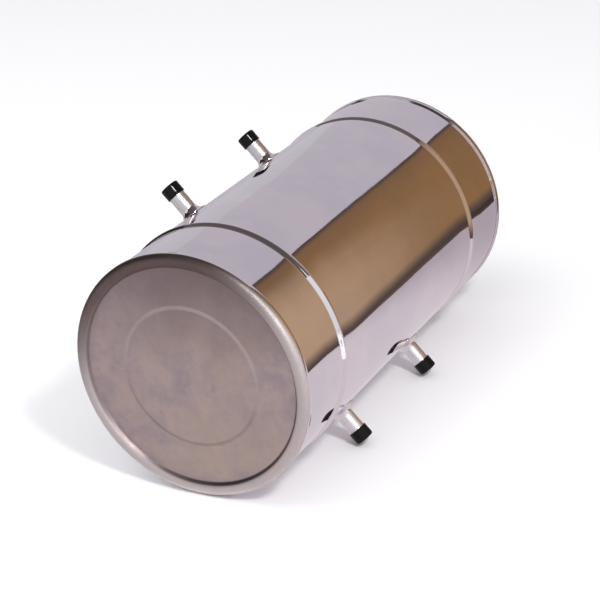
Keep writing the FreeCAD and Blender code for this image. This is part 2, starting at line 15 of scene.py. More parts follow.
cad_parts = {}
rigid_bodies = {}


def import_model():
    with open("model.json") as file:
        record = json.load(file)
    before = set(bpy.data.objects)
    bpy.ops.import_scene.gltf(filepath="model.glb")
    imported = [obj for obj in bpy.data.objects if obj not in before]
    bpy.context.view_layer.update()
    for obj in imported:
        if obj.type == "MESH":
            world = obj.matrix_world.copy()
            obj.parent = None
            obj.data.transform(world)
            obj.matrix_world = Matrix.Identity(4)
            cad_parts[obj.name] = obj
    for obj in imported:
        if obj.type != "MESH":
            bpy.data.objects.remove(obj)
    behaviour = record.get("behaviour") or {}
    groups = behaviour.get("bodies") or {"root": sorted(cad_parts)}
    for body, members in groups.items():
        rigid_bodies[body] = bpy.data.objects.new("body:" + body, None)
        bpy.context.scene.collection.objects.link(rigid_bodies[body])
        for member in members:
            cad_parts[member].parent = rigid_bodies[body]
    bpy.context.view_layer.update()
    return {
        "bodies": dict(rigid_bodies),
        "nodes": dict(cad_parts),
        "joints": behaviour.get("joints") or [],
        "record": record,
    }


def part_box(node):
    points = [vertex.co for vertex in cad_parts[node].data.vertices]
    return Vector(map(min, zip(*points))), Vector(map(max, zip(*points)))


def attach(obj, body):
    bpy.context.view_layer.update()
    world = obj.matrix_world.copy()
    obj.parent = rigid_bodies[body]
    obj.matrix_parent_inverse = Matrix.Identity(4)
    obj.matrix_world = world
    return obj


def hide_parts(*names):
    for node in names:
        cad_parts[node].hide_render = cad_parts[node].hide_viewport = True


log = logging.getLogger("uv_clarifier")

Point = tuple[float, float]
Colour = tuple[float, float, float]
Rule = Callable[[float, float, float], Point]
MM = 0.001
MERGE = 1e-7
ON_AXIS = 1e-6
ALONG_Y = Vector((0, 1, 0))


# --- Shader maths and material trees ---


class Signal:
    """A socket of a material tree that takes part in Python arithmetic."""

    def __init__(self, tree: "MaterialTree", socket: bpy.types.NodeSocket) -> None:
        """Wrap a socket.

        Args:
            tree: The material tree that the socket belongs to.
            socket: The output socket to wrap.
        """
        self.tree = tree
        self.socket = socket

    def _join(self, operation: str, first: object, second: object = None) -> "Signal":
        """Add one Math node.

        Args:
            operation: The Math node's operation.
            first: The first value, a number or a Signal.
            second: The second value, where the operation has one.

        Returns:
            The node's result.
        """
        values = {0: first} if second is None else {0: first, 1: second}
        return self.tree.node("ShaderNodeMath", {"operation": operation}, values)

    def __add__(self, other: object) -> "Signal":
        """Sum."""
        return self._join("ADD", self, other)

    def __radd__(self, other: object) -> "Signal":
        """Sum with a number on the left."""
        return self._join("ADD", other, self)

    def __sub__(self, other: object) -> "Signal":
        """Difference."""
        return self._join("SUBTRACT", self, other)

    def __mul__(self, other: object) -> "Signal":
        """Product."""
        return self._join("MULTIPLY", self, other)

    def __pow__(self, other: object) -> "Signal":
        """Power."""
        return self._join("POWER", self, other)

    def wave(self) -> "Signal":
        """Sine of the signal in radians."""
        return self._join("SINE", self)

    def ramp(self, start: float, end: float, low: float = 0.0, high: float = 1.0) -> "Signal":
        """Map a stretch of the signal smoothly to another stretch.

        Args:
            start: The value that gives low.
            end: The value that gives high.
            low: The result at start.
            high: The result at end.

        Returns:
            The mapped signal.
        """
        return self.tree.node(
            "ShaderNodeMapRange", {"interpolation_type": "SMOOTHSTEP"},
            {"Value": self, "From Min": start, "From Max": end, "To Min": low, "To Max": high})


class MaterialTree:
    """A material whose node tree is written as Python expressions."""

    def __init__(self, name: str) -> None:
        """Make an empty material.

        Args:
            name: The finish's name.
        """
        self.material = bpy.data.materials.new(name)
        self.material.use_nodes = True
        self.nodes = self.material.node_tree.nodes
        self.links = self.material.node_tree.links
        self.nodes.clear()
        self.surface = self.nodes.new("ShaderNodeBsdfPrincipled")
        output = self.nodes.new("ShaderNodeOutputMaterial")
        self.links.new(self.surface.outputs["BSDF"], output.inputs["Surface"])
        self._place: Signal | None = None

    def node(self, kind: str, settings: dict | None = None, inputs: dict | None = None,
             output: str | int = 0) -> Signal:
        """Add any node.

        Args:
            kind: The node's type.
            settings: Its properties, set before its sockets.
            inputs: Socket name or index to a number, colour, vector or Signal.
            output: The output socket to hand back.

        Returns:
            The chosen output.
        """
        made = self.nodes.new(kind)
        for key, value in (settings or {}).items():
            setattr(made, key, value)
        for key, value in (inputs or {}).items():
            if isinstance(value, Signal):
                self.links.new(value.socket, made.inputs[key])
            else:
                made.inputs[key].default_value = value
        return Signal(self, made.outputs[output])

    def place(self) -> Signal:
        """Object coordinates, in metres in the part's frame."""
        if self._place is None:
            self._place = self.node("ShaderNodeTexCoord", output="Object")
        return self._place

    def moved(self, origin: Vector, scale: Sequence[float] = (1.0, 1.0, 1.0)) -> Signal:
        """Object coordinates measured from a point.

        Args:
            origin: The point that becomes zero.
            scale: Stretch along each axis, after the move.

        Returns:
            The moved coordinates.
        """
        offset = self.node("ShaderNodeVectorMath", {"operation": "SUBTRACT"},
                           {0: self.place(), 1: origin})
        return self.node("ShaderNodeVectorMath", {"operation": "MULTIPLY"},
                         {0: offset, 1: tuple(scale)})

    def axes(self, vector: Signal) -> tuple[Signal, Signal, Signal]:
        """Split a vector into its three parts."""
        split = self.nodes.new("ShaderNodeSeparateXYZ")
        self.links.new(vector.socket, split.inputs[0])
        return tuple(Signal(self, split.outputs[k]) for k in range(3))

    def noise(self, scale: float, detail: float = 3.0, roughness: float = 0.5,
              at: Signal | None = None, distortion: float = 0.0) -> Signal:
        """Fractal noise between 0 and 1.

        Args:
            scale: Features per metre.
            detail: Octaves.
            roughness: Share kept by each finer octave.
            at: Coordinates, Object coordinates by default.
            distortion: How far the pattern is stirred.

        Returns:
            The noise value.
        """
        return self.node("ShaderNodeTexNoise", None,
                         {"Vector": at or self.place(), "Scale": scale, "Detail": detail,
                          "Roughness": roughness, "Distortion": distortion})

    def cells(self, scale: float) -> Signal:
        """Distance to the nearest cell point of a Voronoi pattern."""
        return self.node("ShaderNodeTexVoronoi", None, {"Vector": self.place(), "Scale": scale})

    def mix(self, share: object, first: object, second: object) -> Signal:
        """Mix two colours.

        Args:
            share: How much of the second colour shows.
            first: The first colour or Signal.
            second: The second colour or Signal.

        Returns:
            The mixed colour.
        """
        pair = [(*c, 1.0) if isinstance(c, tuple) and len(c) == 3 else c for c in (first, second)]
        return self.node("ShaderNodeMix", {"data_type": "RGBA"},
                         {0: share, 6: pair[0], 7: pair[1]}, output=2)

    def bump(self, height: Signal, depth: float, strength: float = 1.0,
             under: Signal | None = None) -> Signal:
        """Turn a height signal into a normal.

        Args:
            height: The height, about 0 to 1.
            depth: What a height of 1 stands for, in metres.
            strength: The bump's share.
            under: Another bump below this one.

        Returns:
            The normal.
        """
        inputs = {"Height": height, "Distance": depth, "Strength": strength}
        if under is not None:
            inputs["Normal"] = under
        return self.node("ShaderNodeBump", None, inputs)

    def set(self, **values: object) -> None:
        """Set or link the shader's own sockets, named with underscores for spaces."""
        for key, value in values.items():
            socket = self.surface.inputs[key.replace("_", " ")]
            if isinstance(value, Signal):
                self.links.new(value.socket, socket)
            elif isinstance(value, tuple) and len(value) == 3 and socket.type == "RGBA":
                socket.default_value = (*value, 1.0)
            else:
                socket.default_value = value


# --- Finishes ---


@dataclass(frozen=True)
class Finish:
    """A finish that makes its material once and hands the same one out."""

    name: str

    def material(self) -> bpy.types.Material:
        """The finish's material, made on the first call.

        Returns:
            The material. Its name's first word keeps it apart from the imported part's own.
        """
        label = "finish_" + self.name
        found = bpy.data.materials.get(label)
        if found is None:
            tree = MaterialTree(label)
            self.paint(tree)
            found = tree.material
        return found

    def paint(self, tree: MaterialTree) -> None:
        """Write the finish into an empty material tree."""
        raise NotImplementedError


@dataclass(frozen=True)
class MirrorSteel(Finish):
    """Stainless sheet polished to a mirror, with faint polishing lines, smears and panel waviness."""

    tint: Colour = (0.820, 0.778, 0.795)
    clouded: Colour = (0.755, 0.738, 0.768)
    fleck: Colour = (0.52, 0.47, 0.45)
    panel_wave: float = 0.30 * MM
    line_depth: float = 0.004 * MM
    line_stretch: float = 90.0

    def paint(self, tree: MaterialTree) -> None:
        """Write the mirror finish."""
        smear = tree.noise(9.0, 4.0, 0.6).ramp(0.42, 0.72)
        cloud = tree.noise(12.0, 4.0, 0.6)
        lines = tree.noise(14.0, 3.0, 0.6, tree.moved(Vector(), (1.0, self.line_stretch, 1.0)))
        flecks = tree.cells(120.0).ramp(0.02, 0.07, 1.0, 0.0)
        colour = tree.mix(cloud.ramp(0.36, 0.64), self.tint, self.clouded)
        tree.set(Base_Color=tree.mix(flecks * 0.12, colour, self.fleck),
                 Metallic=1.0,
                 Roughness=0.035 + smear * 0.035 + lines.ramp(0.45, 0.75) * 0.03)
        waves = tree.bump(tree.noise(11.0, 2.0, 0.45), self.panel_wave)
        tree.set(Normal=tree.bump(lines, self.line_depth, 0.6, waves))


@dataclass(frozen=True)
class SatinSteel(Finish):
    """Dull spun steel of the end discs: mottled, with a fine turned grain, painted shade that darkens it
    upwards, and painted highlight and shade on its panel ring, recess and rim.
    """

    centre: tuple[float, float, float] = (0.0, 0.0, 0.153)
    tint: Colour = (0.540, 0.430, 0.420)
    cool: Colour = (0.435, 0.362, 0.392)
    warm: Colour = (0.540, 0.440, 0.375)
    # dark serves both the random grime and the painted shade; pale is the painted highlight on the panel
    # ring.
    dark: Colour = (0.235, 0.180, 0.190)
    pale: Colour = (0.640, 0.560, 0.560)
    ring: float = 86.5 * MM
    recess: float = 136.5 * MM
    # recess_line is painted shade round the recess; rim_pale and rim_dark are the rim's painted light and
    # painted shade.
    recess_line: Colour = (0.085, 0.075, 0.095)
    rim_pale: Colour = (0.680, 0.625, 0.625)
    rim_dark: Colour = (0.130, 0.098, 0.088)
    grain_depth: float = 0.03 * MM
    turning_depth: float = 0.006 * MM
    dent_depth: float = 0.40 * MM

    def paint(self, tree: MaterialTree) -> None:
        """Write the satin finish."""
        x, _, z = tree.axes(tree.moved(Vector(self.centre)))
        radius = (x * x + z * z) ** 0.5
        blotch = tree.noise(23.0, 6.0, 0.72, distortion=0.3)
        warm = tree.noise(9.0, 3.0, 0.55)
        grime = tree.noise(60.0, 5.0, 0.7)
        grain = tree.noise(900.0, 2.0, 0.5)
        turned = (radius * 2600.0 + blotch * 5.0).wave()
        colour = tree.mix(blotch.ramp(0.34, 0.66), self.tint, self.cool)
        colour = tree.mix(warm.ramp(0.42, 0.66) * 0.5, colour, self.warm)
        colour = tree.mix(grime.ramp(0.56, 0.80) * 0.35, colour, self.dark)
        # Painted shade: the disc darkens towards its top, with a ragged edge.
        high = (z + (warm - 0.5) * 0.12).ramp(0.0, 0.15)
        colour = tree.mix(high * 0.85, colour, self.dark)
        # Painted highlight and painted shade on the panel's ring: a pale line on its upper half and a dark
        # line on its lower half.
        edge = self._line(radius, self.ring, 0.000010)
        colour = tree.mix(edge * z.ramp(-0.02, 0.04) * 0.40, colour, self.pale)
        colour = tree.mix(edge * z.ramp(-0.06, 0.0, 1.0, 0.0) * 0.35, colour, self.dark)
        # A soft ring at the recess, used below for painted shade.
        recess = self._line(radius, self.recess, 0.000005)
        # Painted light and painted shade on the rolled rim: dark towards its top and left, pale towards its
        # bottom and right.
        rim = radius.ramp(self.recess + 0.5 * MM, self.recess + 3 * MM)
        shaded = (z - x * 0.45).ramp(0.0, 0.14)
        colour = tree.mix(rim * 0.75, colour, tree.mix(shaded, self.rim_pale, self.rim_dark))
        # Painted shade: a dark line round the recess, strongest towards +X.
        colour = tree.mix(recess * (x.ramp(-0.06, 0.06) * 0.45 + 0.40), colour, self.recess_line)
        tree.set(Base_Color=colour, Metallic=1.0,
                 Roughness=0.38 + blotch.ramp(0.3, 0.7) * 0.13 + grain * 0.05 + rim * 0.10)
        fine = tree.bump(grain, self.grain_depth, 0.6)
        swirl = tree.bump(turned, self.turning_depth, 0.5, fine)
        tree.set(Normal=tree.bump(blotch, self.dent_depth, 0.5, swirl))

    @staticmethod
    def _line(radius: Signal, place: float, width_squared: float) -> Signal:
        """A soft ring at a radius: 1 on it and 0 beyond its width."""
        off = radius - place
        return (off * off).ramp(0.0, width_squared, 1.0, 0.0)


@dataclass(frozen=True)
class GlossVinyl(Finish):
    """Dipped black vinyl of the push-on caps."""

    tint: Colour = (0.004, 0.004, 0.004)

    def paint(self, tree: MaterialTree) -> None:
        """Write the vinyl finish."""
        scuff = tree.noise(420.0, 4.0, 0.65).ramp(0.58, 0.80)
        orange_peel = tree.noise(520.0, 2.0, 0.5)
        tree.set(Base_Color=tree.mix(scuff * 0.5, self.tint, (0.014, 0.013, 0.013)),
                 Roughness=0.11 + scuff * 0.08, IOR=1.45, Specular_IOR_Level=0.20,
                 Normal=tree.bump(orange_peel, 0.00002, 0.5))


class Moulding(Enum):
    """The moulded plastics and rubbers of the lamp head: colour, roughness and grain size."""

    CASE = ("case", (0.018, 0.019, 0.021), 0.46, 1500.0)
    GRIP = ("grip", (0.042, 0.045, 0.049), 0.52, 1100.0)
    HOLDER = ("holder", (0.74, 0.72, 0.66), 0.42, 800.0)
    RUBBER = ("rubber", (0.016, 0.016, 0.016), 0.72, 700.0)
    SILICONE = ("silicone", (0.42, 0.10, 0.055), 0.55, 600.0)


@dataclass(frozen=True)
class MouldedPlastic(Finish):
    """Spark-eroded or plain moulded plastic and rubber."""

    kind: Moulding = Moulding.CASE

    def paint(self, tree: MaterialTree) -> None:
        """Write the moulded finish."""
        _, tint, rough, grain_scale = self.kind.value
        grain = tree.cells(grain_scale)
        dust = tree.noise(38.0, 5.0, 0.7).ramp(0.50, 0.85)
        flow = tree.noise(14.0, 2.0, 0.5)
        worn = tuple(min(1.0, 0.045 + c * 1.15) for c in tint)
        colour = tree.mix(dust * 0.45, tint, worn)
        tree.set(Base_Color=tree.mix(flow.ramp(0.4, 0.7) * 0.25, colour,
                                     tuple(c * 0.78 for c in tint)),
                 Roughness=rough + dust * 0.14, IOR=1.49,
                 Normal=tree.bump(grain, 0.00006, 0.7))


@dataclass(frozen=True)
class GlazedCeramic(Finish):
    """White steatite of the lamp base."""

    def paint(self, tree: MaterialTree) -> None:
        """Write the ceramic finish."""
        stain = tree.noise(70.0, 4.0, 0.6)
        pores = tree.cells(900.0).ramp(0.05, 0.16, 1.0, 0.0)
        tree.set(Base_Color=tree.mix(stain.ramp(0.5, 0.8) * 0.4, (0.80, 0.78, 0.73),
                                     (0.62, 0.56, 0.46)),
                 Roughness=0.24 + stain * 0.12 + pores * 0.2, Coat_Weight=0.35,
                 Normal=tree.bump(pores, -0.00003, 0.6))


@dataclass(frozen=True)
class PlatedMetal(Finish):
    """Turned or pressed small metal parts: brass pins, zinc-plated screws, lacquered laminations."""

    tint: Colour = (0.62, 0.63, 0.65)
    dull: Colour = (0.40, 0.40, 0.42)
    rough: float = 0.26
    metal: float = 1.0

    def paint(self, tree: MaterialTree) -> None:
        """Write the plated finish."""
        tarnish = tree.noise(120.0, 5.0, 0.65).ramp(0.45, 0.80)
        turning = tree.noise(1400.0, 2.0, 0.5)
        tree.set(Base_Color=tree.mix(tarnish * 0.7, self.tint, self.dull), Metallic=self.metal,
                 Roughness=self.rough + tarnish * 0.22,
                 Normal=tree.bump(turning, 0.00002, 0.6))


@dataclass(frozen=True)
class ClearQuartz(Finish):
    """Fused quartz: clear, with faint drawn streaks and a little lime film."""

    tint: Colour = (0.93, 0.96, 0.98)
    clear: float = 0.90
    frost: float = 0.0

    def paint(self, tree: MaterialTree) -> None:
        """Write the quartz finish."""
        streak = tree.noise(90.0, 3.0, 0.6, tree.moved(Vector(), (1.0, 0.03, 1.0)))
        film = tree.noise(25.0, 4.0, 0.65).ramp(0.55, 0.85)
        tree.set(Base_Color=tree.mix(film, self.tint, (0.86, 0.85, 0.80)),
                 Roughness=0.03 + film * 0.12 + self.frost,
                 IOR=1.458, Transmission_Weight=self.clear,
                 Normal=tree.bump(streak, 0.00005, 0.5))


@dataclass(frozen=True)
class PaleFloor(Finish):
    """The studio's pale floor."""

    tint: Colour = (0.86, 0.855, 0.865)

    def paint(self, tree: MaterialTree) -> None:
        """Write the floor's finish."""
        fibre = tree.noise(240.0, 3.0, 0.6)
        tree.set(Base_Color=tree.mix(fibre * 0.1, self.tint, (0.82, 0.815, 0.82)),
                 Roughness=0.85, Specular_IOR_Level=0.1)


MIRROR = MirrorSteel("mirror_steel")
SATIN = SatinSteel("satin_steel")
VINYL = GlossVinyl("cap_vinyl")
CASE = MouldedPlastic("case_plastic", Moulding.CASE)
GRIP = MouldedPlastic("grip_plastic", Moulding.GRIP)
HOLDER = MouldedPlastic("holder_plastic", Moulding.HOLDER)
RUBBER = MouldedPlastic("seal_rubber", Moulding.RUBBER)
SILICONE = MouldedPlastic("silicone_rubber", Moulding.SILICONE)
CERAMIC = GlazedCeramic("lamp_ceramic")
ZINC = PlatedMetal("zinc_plate")
TURNED = PlatedMetal("turned_steel", (0.56, 0.55, 0.55), (0.38, 0.37, 0.37), 0.20)
PIPE = PlatedMetal("pipe_steel", (0.74, 0.72, 0.74), (0.58, 0.56, 0.57), 0.34)
BRASS = PlatedMetal("pin_brass", (0.72, 0.52, 0.22), (0.42, 0.28, 0.12), 0.24)
LAMINATION = PlatedMetal("lamination_lacquer", (0.20, 0.21, 0.23), (0.10, 0.10, 0.11), 0.42, 0.6)
COPPER = PlatedMetal("winding_enamel", (0.55, 0.20, 0.08), (0.30, 0.09, 0.04), 0.30)
QUARTZ = ClearQuartz("clear_quartz")
LAMP_GLASS = ClearQuartz("lamp_glass", (0.90, 0.93, 0.96), 0.75, 0.10)
BLUE_LENS = ClearQuartz("blue_lens", (0.10, 0.32, 0.85), 0.55, 0.08)


# --- Mesh work ---


def dressed(name: str, mesh: bpy.types.Mesh, finish: Finish, sharp: float = 40.0) -> bpy.types.Object:
    """Link a mesh as a piece with its finish and smooth shading.

    Args:
        name: The piece's name.
        mesh: Its mesh, in the part's frame.
        finish: Its finish.
        sharp: Edges that turn more than this many degrees stay sharp.

    Returns:
        The linked piece.
    """
    mesh.materials.clear()
    mesh.materials.append(finish.material())
    mesh.shade_smooth()
    mesh.set_sharp_from_angle(angle=math.radians(sharp))
    piece = bpy.data.objects.new(name, mesh)
    bpy.context.scene.collection.objects.link(piece)
    return piece


def mesh_of(name: str, vertices: Iterable[Sequence[float]], faces: Iterable[Sequence[int]],
            merge: float = MERGE) -> bpy.types.Mesh:
    """A clean mesh whose faces point outwards.

    Args:
        name: The mesh's name.
        vertices: Its points.
        faces: Its faces.
        merge: Points nearer than this are one.

    Returns:
        The mesh.
    """
    mesh = bpy.data.meshes.new(name)
    mesh.from_pydata([tuple(v) for v in vertices], [], [tuple(f) for f in faces])
    work = bmesh.new()
    work.from_mesh(mesh)
    bmesh.ops.remove_doubles(work, verts=work.verts, dist=merge)
    bmesh.ops.dissolve_degenerate(work, edges=work.edges, dist=merge)
    bmesh.ops.recalc_face_normals(work, faces=work.faces)
    work.to_mesh(mesh)
    work.free()
    return mesh


def eased(points: Sequence[Point], radius: float, steps: int = 4) -> list[Point]:
    """Round every corner of a closed outline.

    Args:
        points: The outline's corners.
        radius: The corner radius, made smaller where a side is short.
        steps: Segments in each corner.

    Returns:
        The rounded outline.
    """
    rounded: list[Point] = []
    count = len(points)
    for k in range(count):
        here, before, after = (Vector(points[k]), Vector(points[k - 1]),
                               Vector(points[(k + 1) % count]))
        inward, outward = before - here, after - here
        reach = min(radius, inward.length * 0.45, outward.length * 0.45)
        if here.x < ON_AXIS or reach < ON_AXIS:
            rounded.append(tuple(here))
            continue
        start, end = here + inward.normalized() * reach, here + outward.normalized() * reach
        for step in range(steps + 1):
            t = step / steps
            rounded.append(tuple(start * (1 - t) ** 2 + here * 2 * t * (1 - t) + end * t * t))
    return rounded


@dataclass(frozen=True)
class Axis:
    """A line in space that round pieces are turned about."""

    origin: Vector
    way: Vector

    def frame(self) -> tuple[Vector, Vector]:
        """Two unit vectors square to the axis and to each other."""
        side = self.way.cross(ALONG_Y)
        if side.length < 0.1:
            side = self.way.cross(Vector((0, 0, -1)))
        side.normalize()
        return side, side.cross(self.way)

    def at(self, along: float) -> Vector:
        """The point of the axis at a distance along it."""
        return self.origin + self.way * along

    def point(self, radius: float, along: float, turn: float) -> Vector:
        """A point round the axis.

        Args:
            radius: Its distance from the axis.
            along: Its place along the axis.
            turn: Its angle in radians.

        Returns:
            The point.
        """
        side, other = self.frame()
        return self.at(along) + (side * math.cos(turn) + other * math.sin(turn)) * radius


def turned(name: str, outline: Sequence[Point], axis: Axis, segments: int = 96,
           rule: Rule | None = None) -> bpy.types.Mesh:
    """Turn a closed outline about an axis.

    Args:
        name: The mesh's name.
        outline: Radius and place along the axis of each corner.
        axis: The axis.
        segments: Steps round the axis.
        rule: Gives a new radius and place from a radius, place and angle.

    Returns:
        The closed mesh.
    """
    vertices = []
    for step in range(segments):
        turn = 2 * math.pi * step / segments
        for radius, along in outline:
            reach, place = rule(radius, along, turn) if rule else (radius, along)
            vertices.append(axis.point(reach, place, turn))
    count = len(outline)
    faces = []
    for step in range(segments):
        here, there = step * count, ((step + 1) % segments) * count
        for k in range(count):
            after = (k + 1) % count
            if outline[k][0] < ON_AXIS and outline[after][0] < ON_AXIS:
                continue
            faces.append((here + k, here + after, there + after, there + k))
    return mesh_of(name, vertices, faces)


def softened_box(name: str, low: Vector, high: Vector, edge: float, finish: Finish,
                 steps: int = 3) -> bpy.types.Object:
    """A box with rounded edges.

    Args:
        name: The piece's name.
        low: Its lowest corner.
        high: Its highest corner.
        edge: The edge radius.
        finish: Its finish.
        steps: Segments in each edge.

    Returns:
        The piece.
    """
    work = bmesh.new()
    bmesh.ops.create_cube(work, size=1.0)
    size, middle = high - low, (high + low) / 2
    for vertex in work.verts:
        vertex.co = Vector(c * s for c, s in zip(vertex.co, size)) + middle
    bmesh.ops.bevel(work, geom=list(work.edges), offset=edge, segments=steps, profile=0.5,
                    affect="EDGES")
    mesh = bpy.data.meshes.new(name)
    work.to_mesh(mesh)
    work.free()
    return dressed(name, mesh, finish)


def joined(name: str, pieces: Sequence[bpy.types.Object]) -> bpy.types.Object:
    """Join loose pieces into one.

    Args:
        name: The joined piece's name.
        pieces: What to join; they must all have one or more finishes already.

    Returns:
        The joined piece.
    """
    with bpy.context.temp_override(active_object=pieces[0], object=pieces[0],
                                   selected_objects=list(pieces),
                                   selected_editable_objects=list(pieces)):
        bpy.ops.object.join()
    pieces[0].name = name
    return pieces[0]


def mounted(piece: bpy.types.Object, body: str, slot: str, *nodes: str) -> bpy.types.Object:
    """Let a finished piece ride on its body in place of its CAD nodes.

    Args:
        piece: The finished piece.
        body: The body that it moves with.
        slot: The record's material slot; not used.
        nodes: The CAD nodes that it stands for.

    Returns:
        The piece.
    """
    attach(piece, body)
    if nodes:
        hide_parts(*nodes)
    log.info("%s rides on %s", piece.name, body)
    return piece


# --- Geometry Nodes ---


class GeometryTree:
    """A geometry node group written step by step, with named inputs for its sizes."""

    def __init__(self, name: str) -> None:
        """Make a group with one geometry input and one geometry output.

        Args:
            name: The group's name.
        """
        self.group = bpy.data.node_groups.new(name, "GeometryNodeTree")
        self.group.interface.new_socket("Geometry", in_out="INPUT",
                                        socket_type="NodeSocketGeometry")
        self.group.interface.new_socket("Geometry", in_out="OUTPUT",
                                        socket_type="NodeSocketGeometry")
        self.source = self.group.nodes.new("NodeGroupInput")
        self.sink = self.group.nodes.new("NodeGroupOutput")
        self.identifiers: dict[str, str] = {}

    def size(self, name: str, kind: str = "Float") -> bpy.types.NodeSocket:
        """Add a named input.

        Args:
            name: The input's name.
            kind: Float, Int or Vector.

        Returns:
            The socket that carries it inside the group.
        """
        made = self.group.interface.new_socket(name, in_out="INPUT",
                                               socket_type=f"NodeSocket{kind}")
        self.identifiers[name] = made.identifier
        return self.source.outputs[name]

    def node(self, kind: str, settings: dict | None = None, inputs: dict | None = None,
             output: str | int = 0) -> bpy.types.NodeSocket:
        """Add any node.

        Args:
            kind: The node's type.
            settings: Its properties, set before its sockets.
            inputs: Socket name or index to a value or another socket.
            output: The output socket to hand back.

        Returns:
            The chosen output.
        """
        made = self.group.nodes.new(kind)
        for key, value in (settings or {}).items():
            setattr(made, key, value)
        for key, value in (inputs or {}).items():
            if isinstance(value, bpy.types.NodeSocket):
                self.group.links.new(value, made.inputs[key])
            else:
                made.inputs[key].default_value = value
        return made.outputs[output]

    def close(self, geometry: bpy.types.NodeSocket, finish: Finish) -> None:
        """End the group in Realize Instances and Set Material.

        Args:
            geometry: What the group has made.
            finish: The finish of all of it.
        """
        plain = self.node("GeometryNodeRealizeInstances", None, {0: geometry})
        smooth = self.node("GeometryNodeSetShadeSmooth", None, {0: plain})
        done = self.node("GeometryNodeSetMaterial", None,
                         {"Geometry": smooth, "Material": finish.material()})
        self.group.links.new(done, self.sink.inputs[0])

    def build(self, name: str, start: bpy.types.Mesh, finish: Finish, sharp: float = 40.0,
              **sizes: object) -> bpy.types.Object:
        """Run the group on a mesh and keep the result as a plain piece.

        Args:
            name: The piece's name.
            start: The mesh that goes into the group.
            finish: The piece's finish.
            sharp: Edges that turn more than this many degrees stay sharp.
            **sizes: Named inputs, with underscores for spaces.

        Returns:
            The piece, with no modifier left on it.
        """
        carrier = bpy.data.objects.new(name, start)
        bpy.context.scene.collection.objects.link(carrier)
        modifier = carrier.modifiers.new("rule", "NODES")
        modifier.node_group = self.group
        for key, value in sizes.items():
            modifier[self.identifiers[key.replace("_", " ")]] = value
        graph = bpy.context.evaluated_depsgraph_get()
        mesh = bpy.data.meshes.new_from_object(carrier.evaluated_get(graph), depsgraph=graph)
        bpy.data.objects.remove(carrier)
        work = bmesh.new()
        work.from_mesh(mesh)
        bmesh.ops.remove_doubles(work, verts=work.verts, dist=MERGE)
        bmesh.ops.recalc_face_normals(work, faces=work.faces)
        work.to_mesh(mesh)
        work.free()
        return dressed(name, mesh, finish, sharp)


def turning_tree(finish: Finish) -> GeometryTree:
    """A group that turns a closed profile about a line along +Y.

    Args:
        finish: The finish of what is turned.

    Returns:
        The group, with inputs Base Radius, Segments and Centre.
    """
    tree = GeometryTree("turned_about_the_drum_axis")
    radius, segments = tree.size("Base Radius"), tree.size("Segments", "Int")
    centre = tree.size("Centre", "Vector")
    profile = tree.node("GeometryNodeMeshToCurve", None, {0: tree.source.outputs[0]})
    path = tree.node("GeometryNodeCurvePrimitiveCircle", None,
                     {"Resolution": segments, "Radius": radius})
    swept = tree.node("GeometryNodeCurveToMesh", None, {0: path, "Profile Curve": profile})
    stood = tree.node("GeometryNodeTransform", None,
                      {0: swept, "Translation": centre, "Rotation": (math.pi / 2, 0.0, 0.0)})
    tree.close(stood, finish)
    return tree


def row_tree(name: str, finish: Finish) -> GeometryTree:
    """A group that repeats the incoming mesh in a straight row.

    Args:
        name: The group's name.
        finish: The finish of the row.

    Returns:
        The group, with inputs Count and Step.
    """
    tree = GeometryTree(name)
    count, step = tree.size("Count", "Int"), tree.size("Step", "Vector")
    places = tree.node("GeometryNodeMeshLine", None, {"Count": count, "Offset": step})
    tree.close(tree.node("GeometryNodeInstanceOnPoints", None,
                         {"Points": places, "Instance": tree.source.outputs[0]}), finish)
    return tree


def ring_tree(name: str, finish: Finish) -> GeometryTree:
    """A group that repeats the incoming mesh round the Y direction.

    Args:
        name: The group's name.
        finish: The finish of the ring.

    Returns:
        The group, with inputs Count, Radius, First Turn and Centre. The incoming mesh is
        drawn at the origin, with outward as +X.
    """
    tree = GeometryTree(name)
    count, radius = tree.size("Count", "Int"), tree.size("Radius")
    first, centre = tree.size("First Turn"), tree.size("Centre", "Vector")
    places = tree.node("GeometryNodeMeshLine", None,
                       {"Count": count, "Offset": (0.0, 0.0, 0.0)})
    index = tree.node("GeometryNodeInputIndex")
    share = tree.node("ShaderNodeMath", {"operation": "DIVIDE"}, {0: index, 1: count})
    angle = tree.node("ShaderNodeMath", {"operation": "MULTIPLY_ADD"},
                      {0: share, 1: -2 * math.pi, 2: first})
    turn = tree.node("ShaderNodeCombineXYZ", None, {1: angle})
    outward = tree.node("ShaderNodeCombineXYZ", None, {0: radius})
    offset = tree.node("ShaderNodeVectorRotate", {"rotation_type": "EULER_XYZ"},
                       {"Vector": outward, "Rotation": turn})
    spread = tree.node("GeometryNodeSetPosition", None, {0: places, "Offset": offset})
    copies = tree.node("GeometryNodeInstanceOnPoints", None,
                       {"Points": spread, "Instance": tree.source.outputs[0],
                        "Rotation": turn})
    tree.close(tree.node("GeometryNodeTransform", None, {0: copies, "Translation": centre}),
               finish)
    return tree


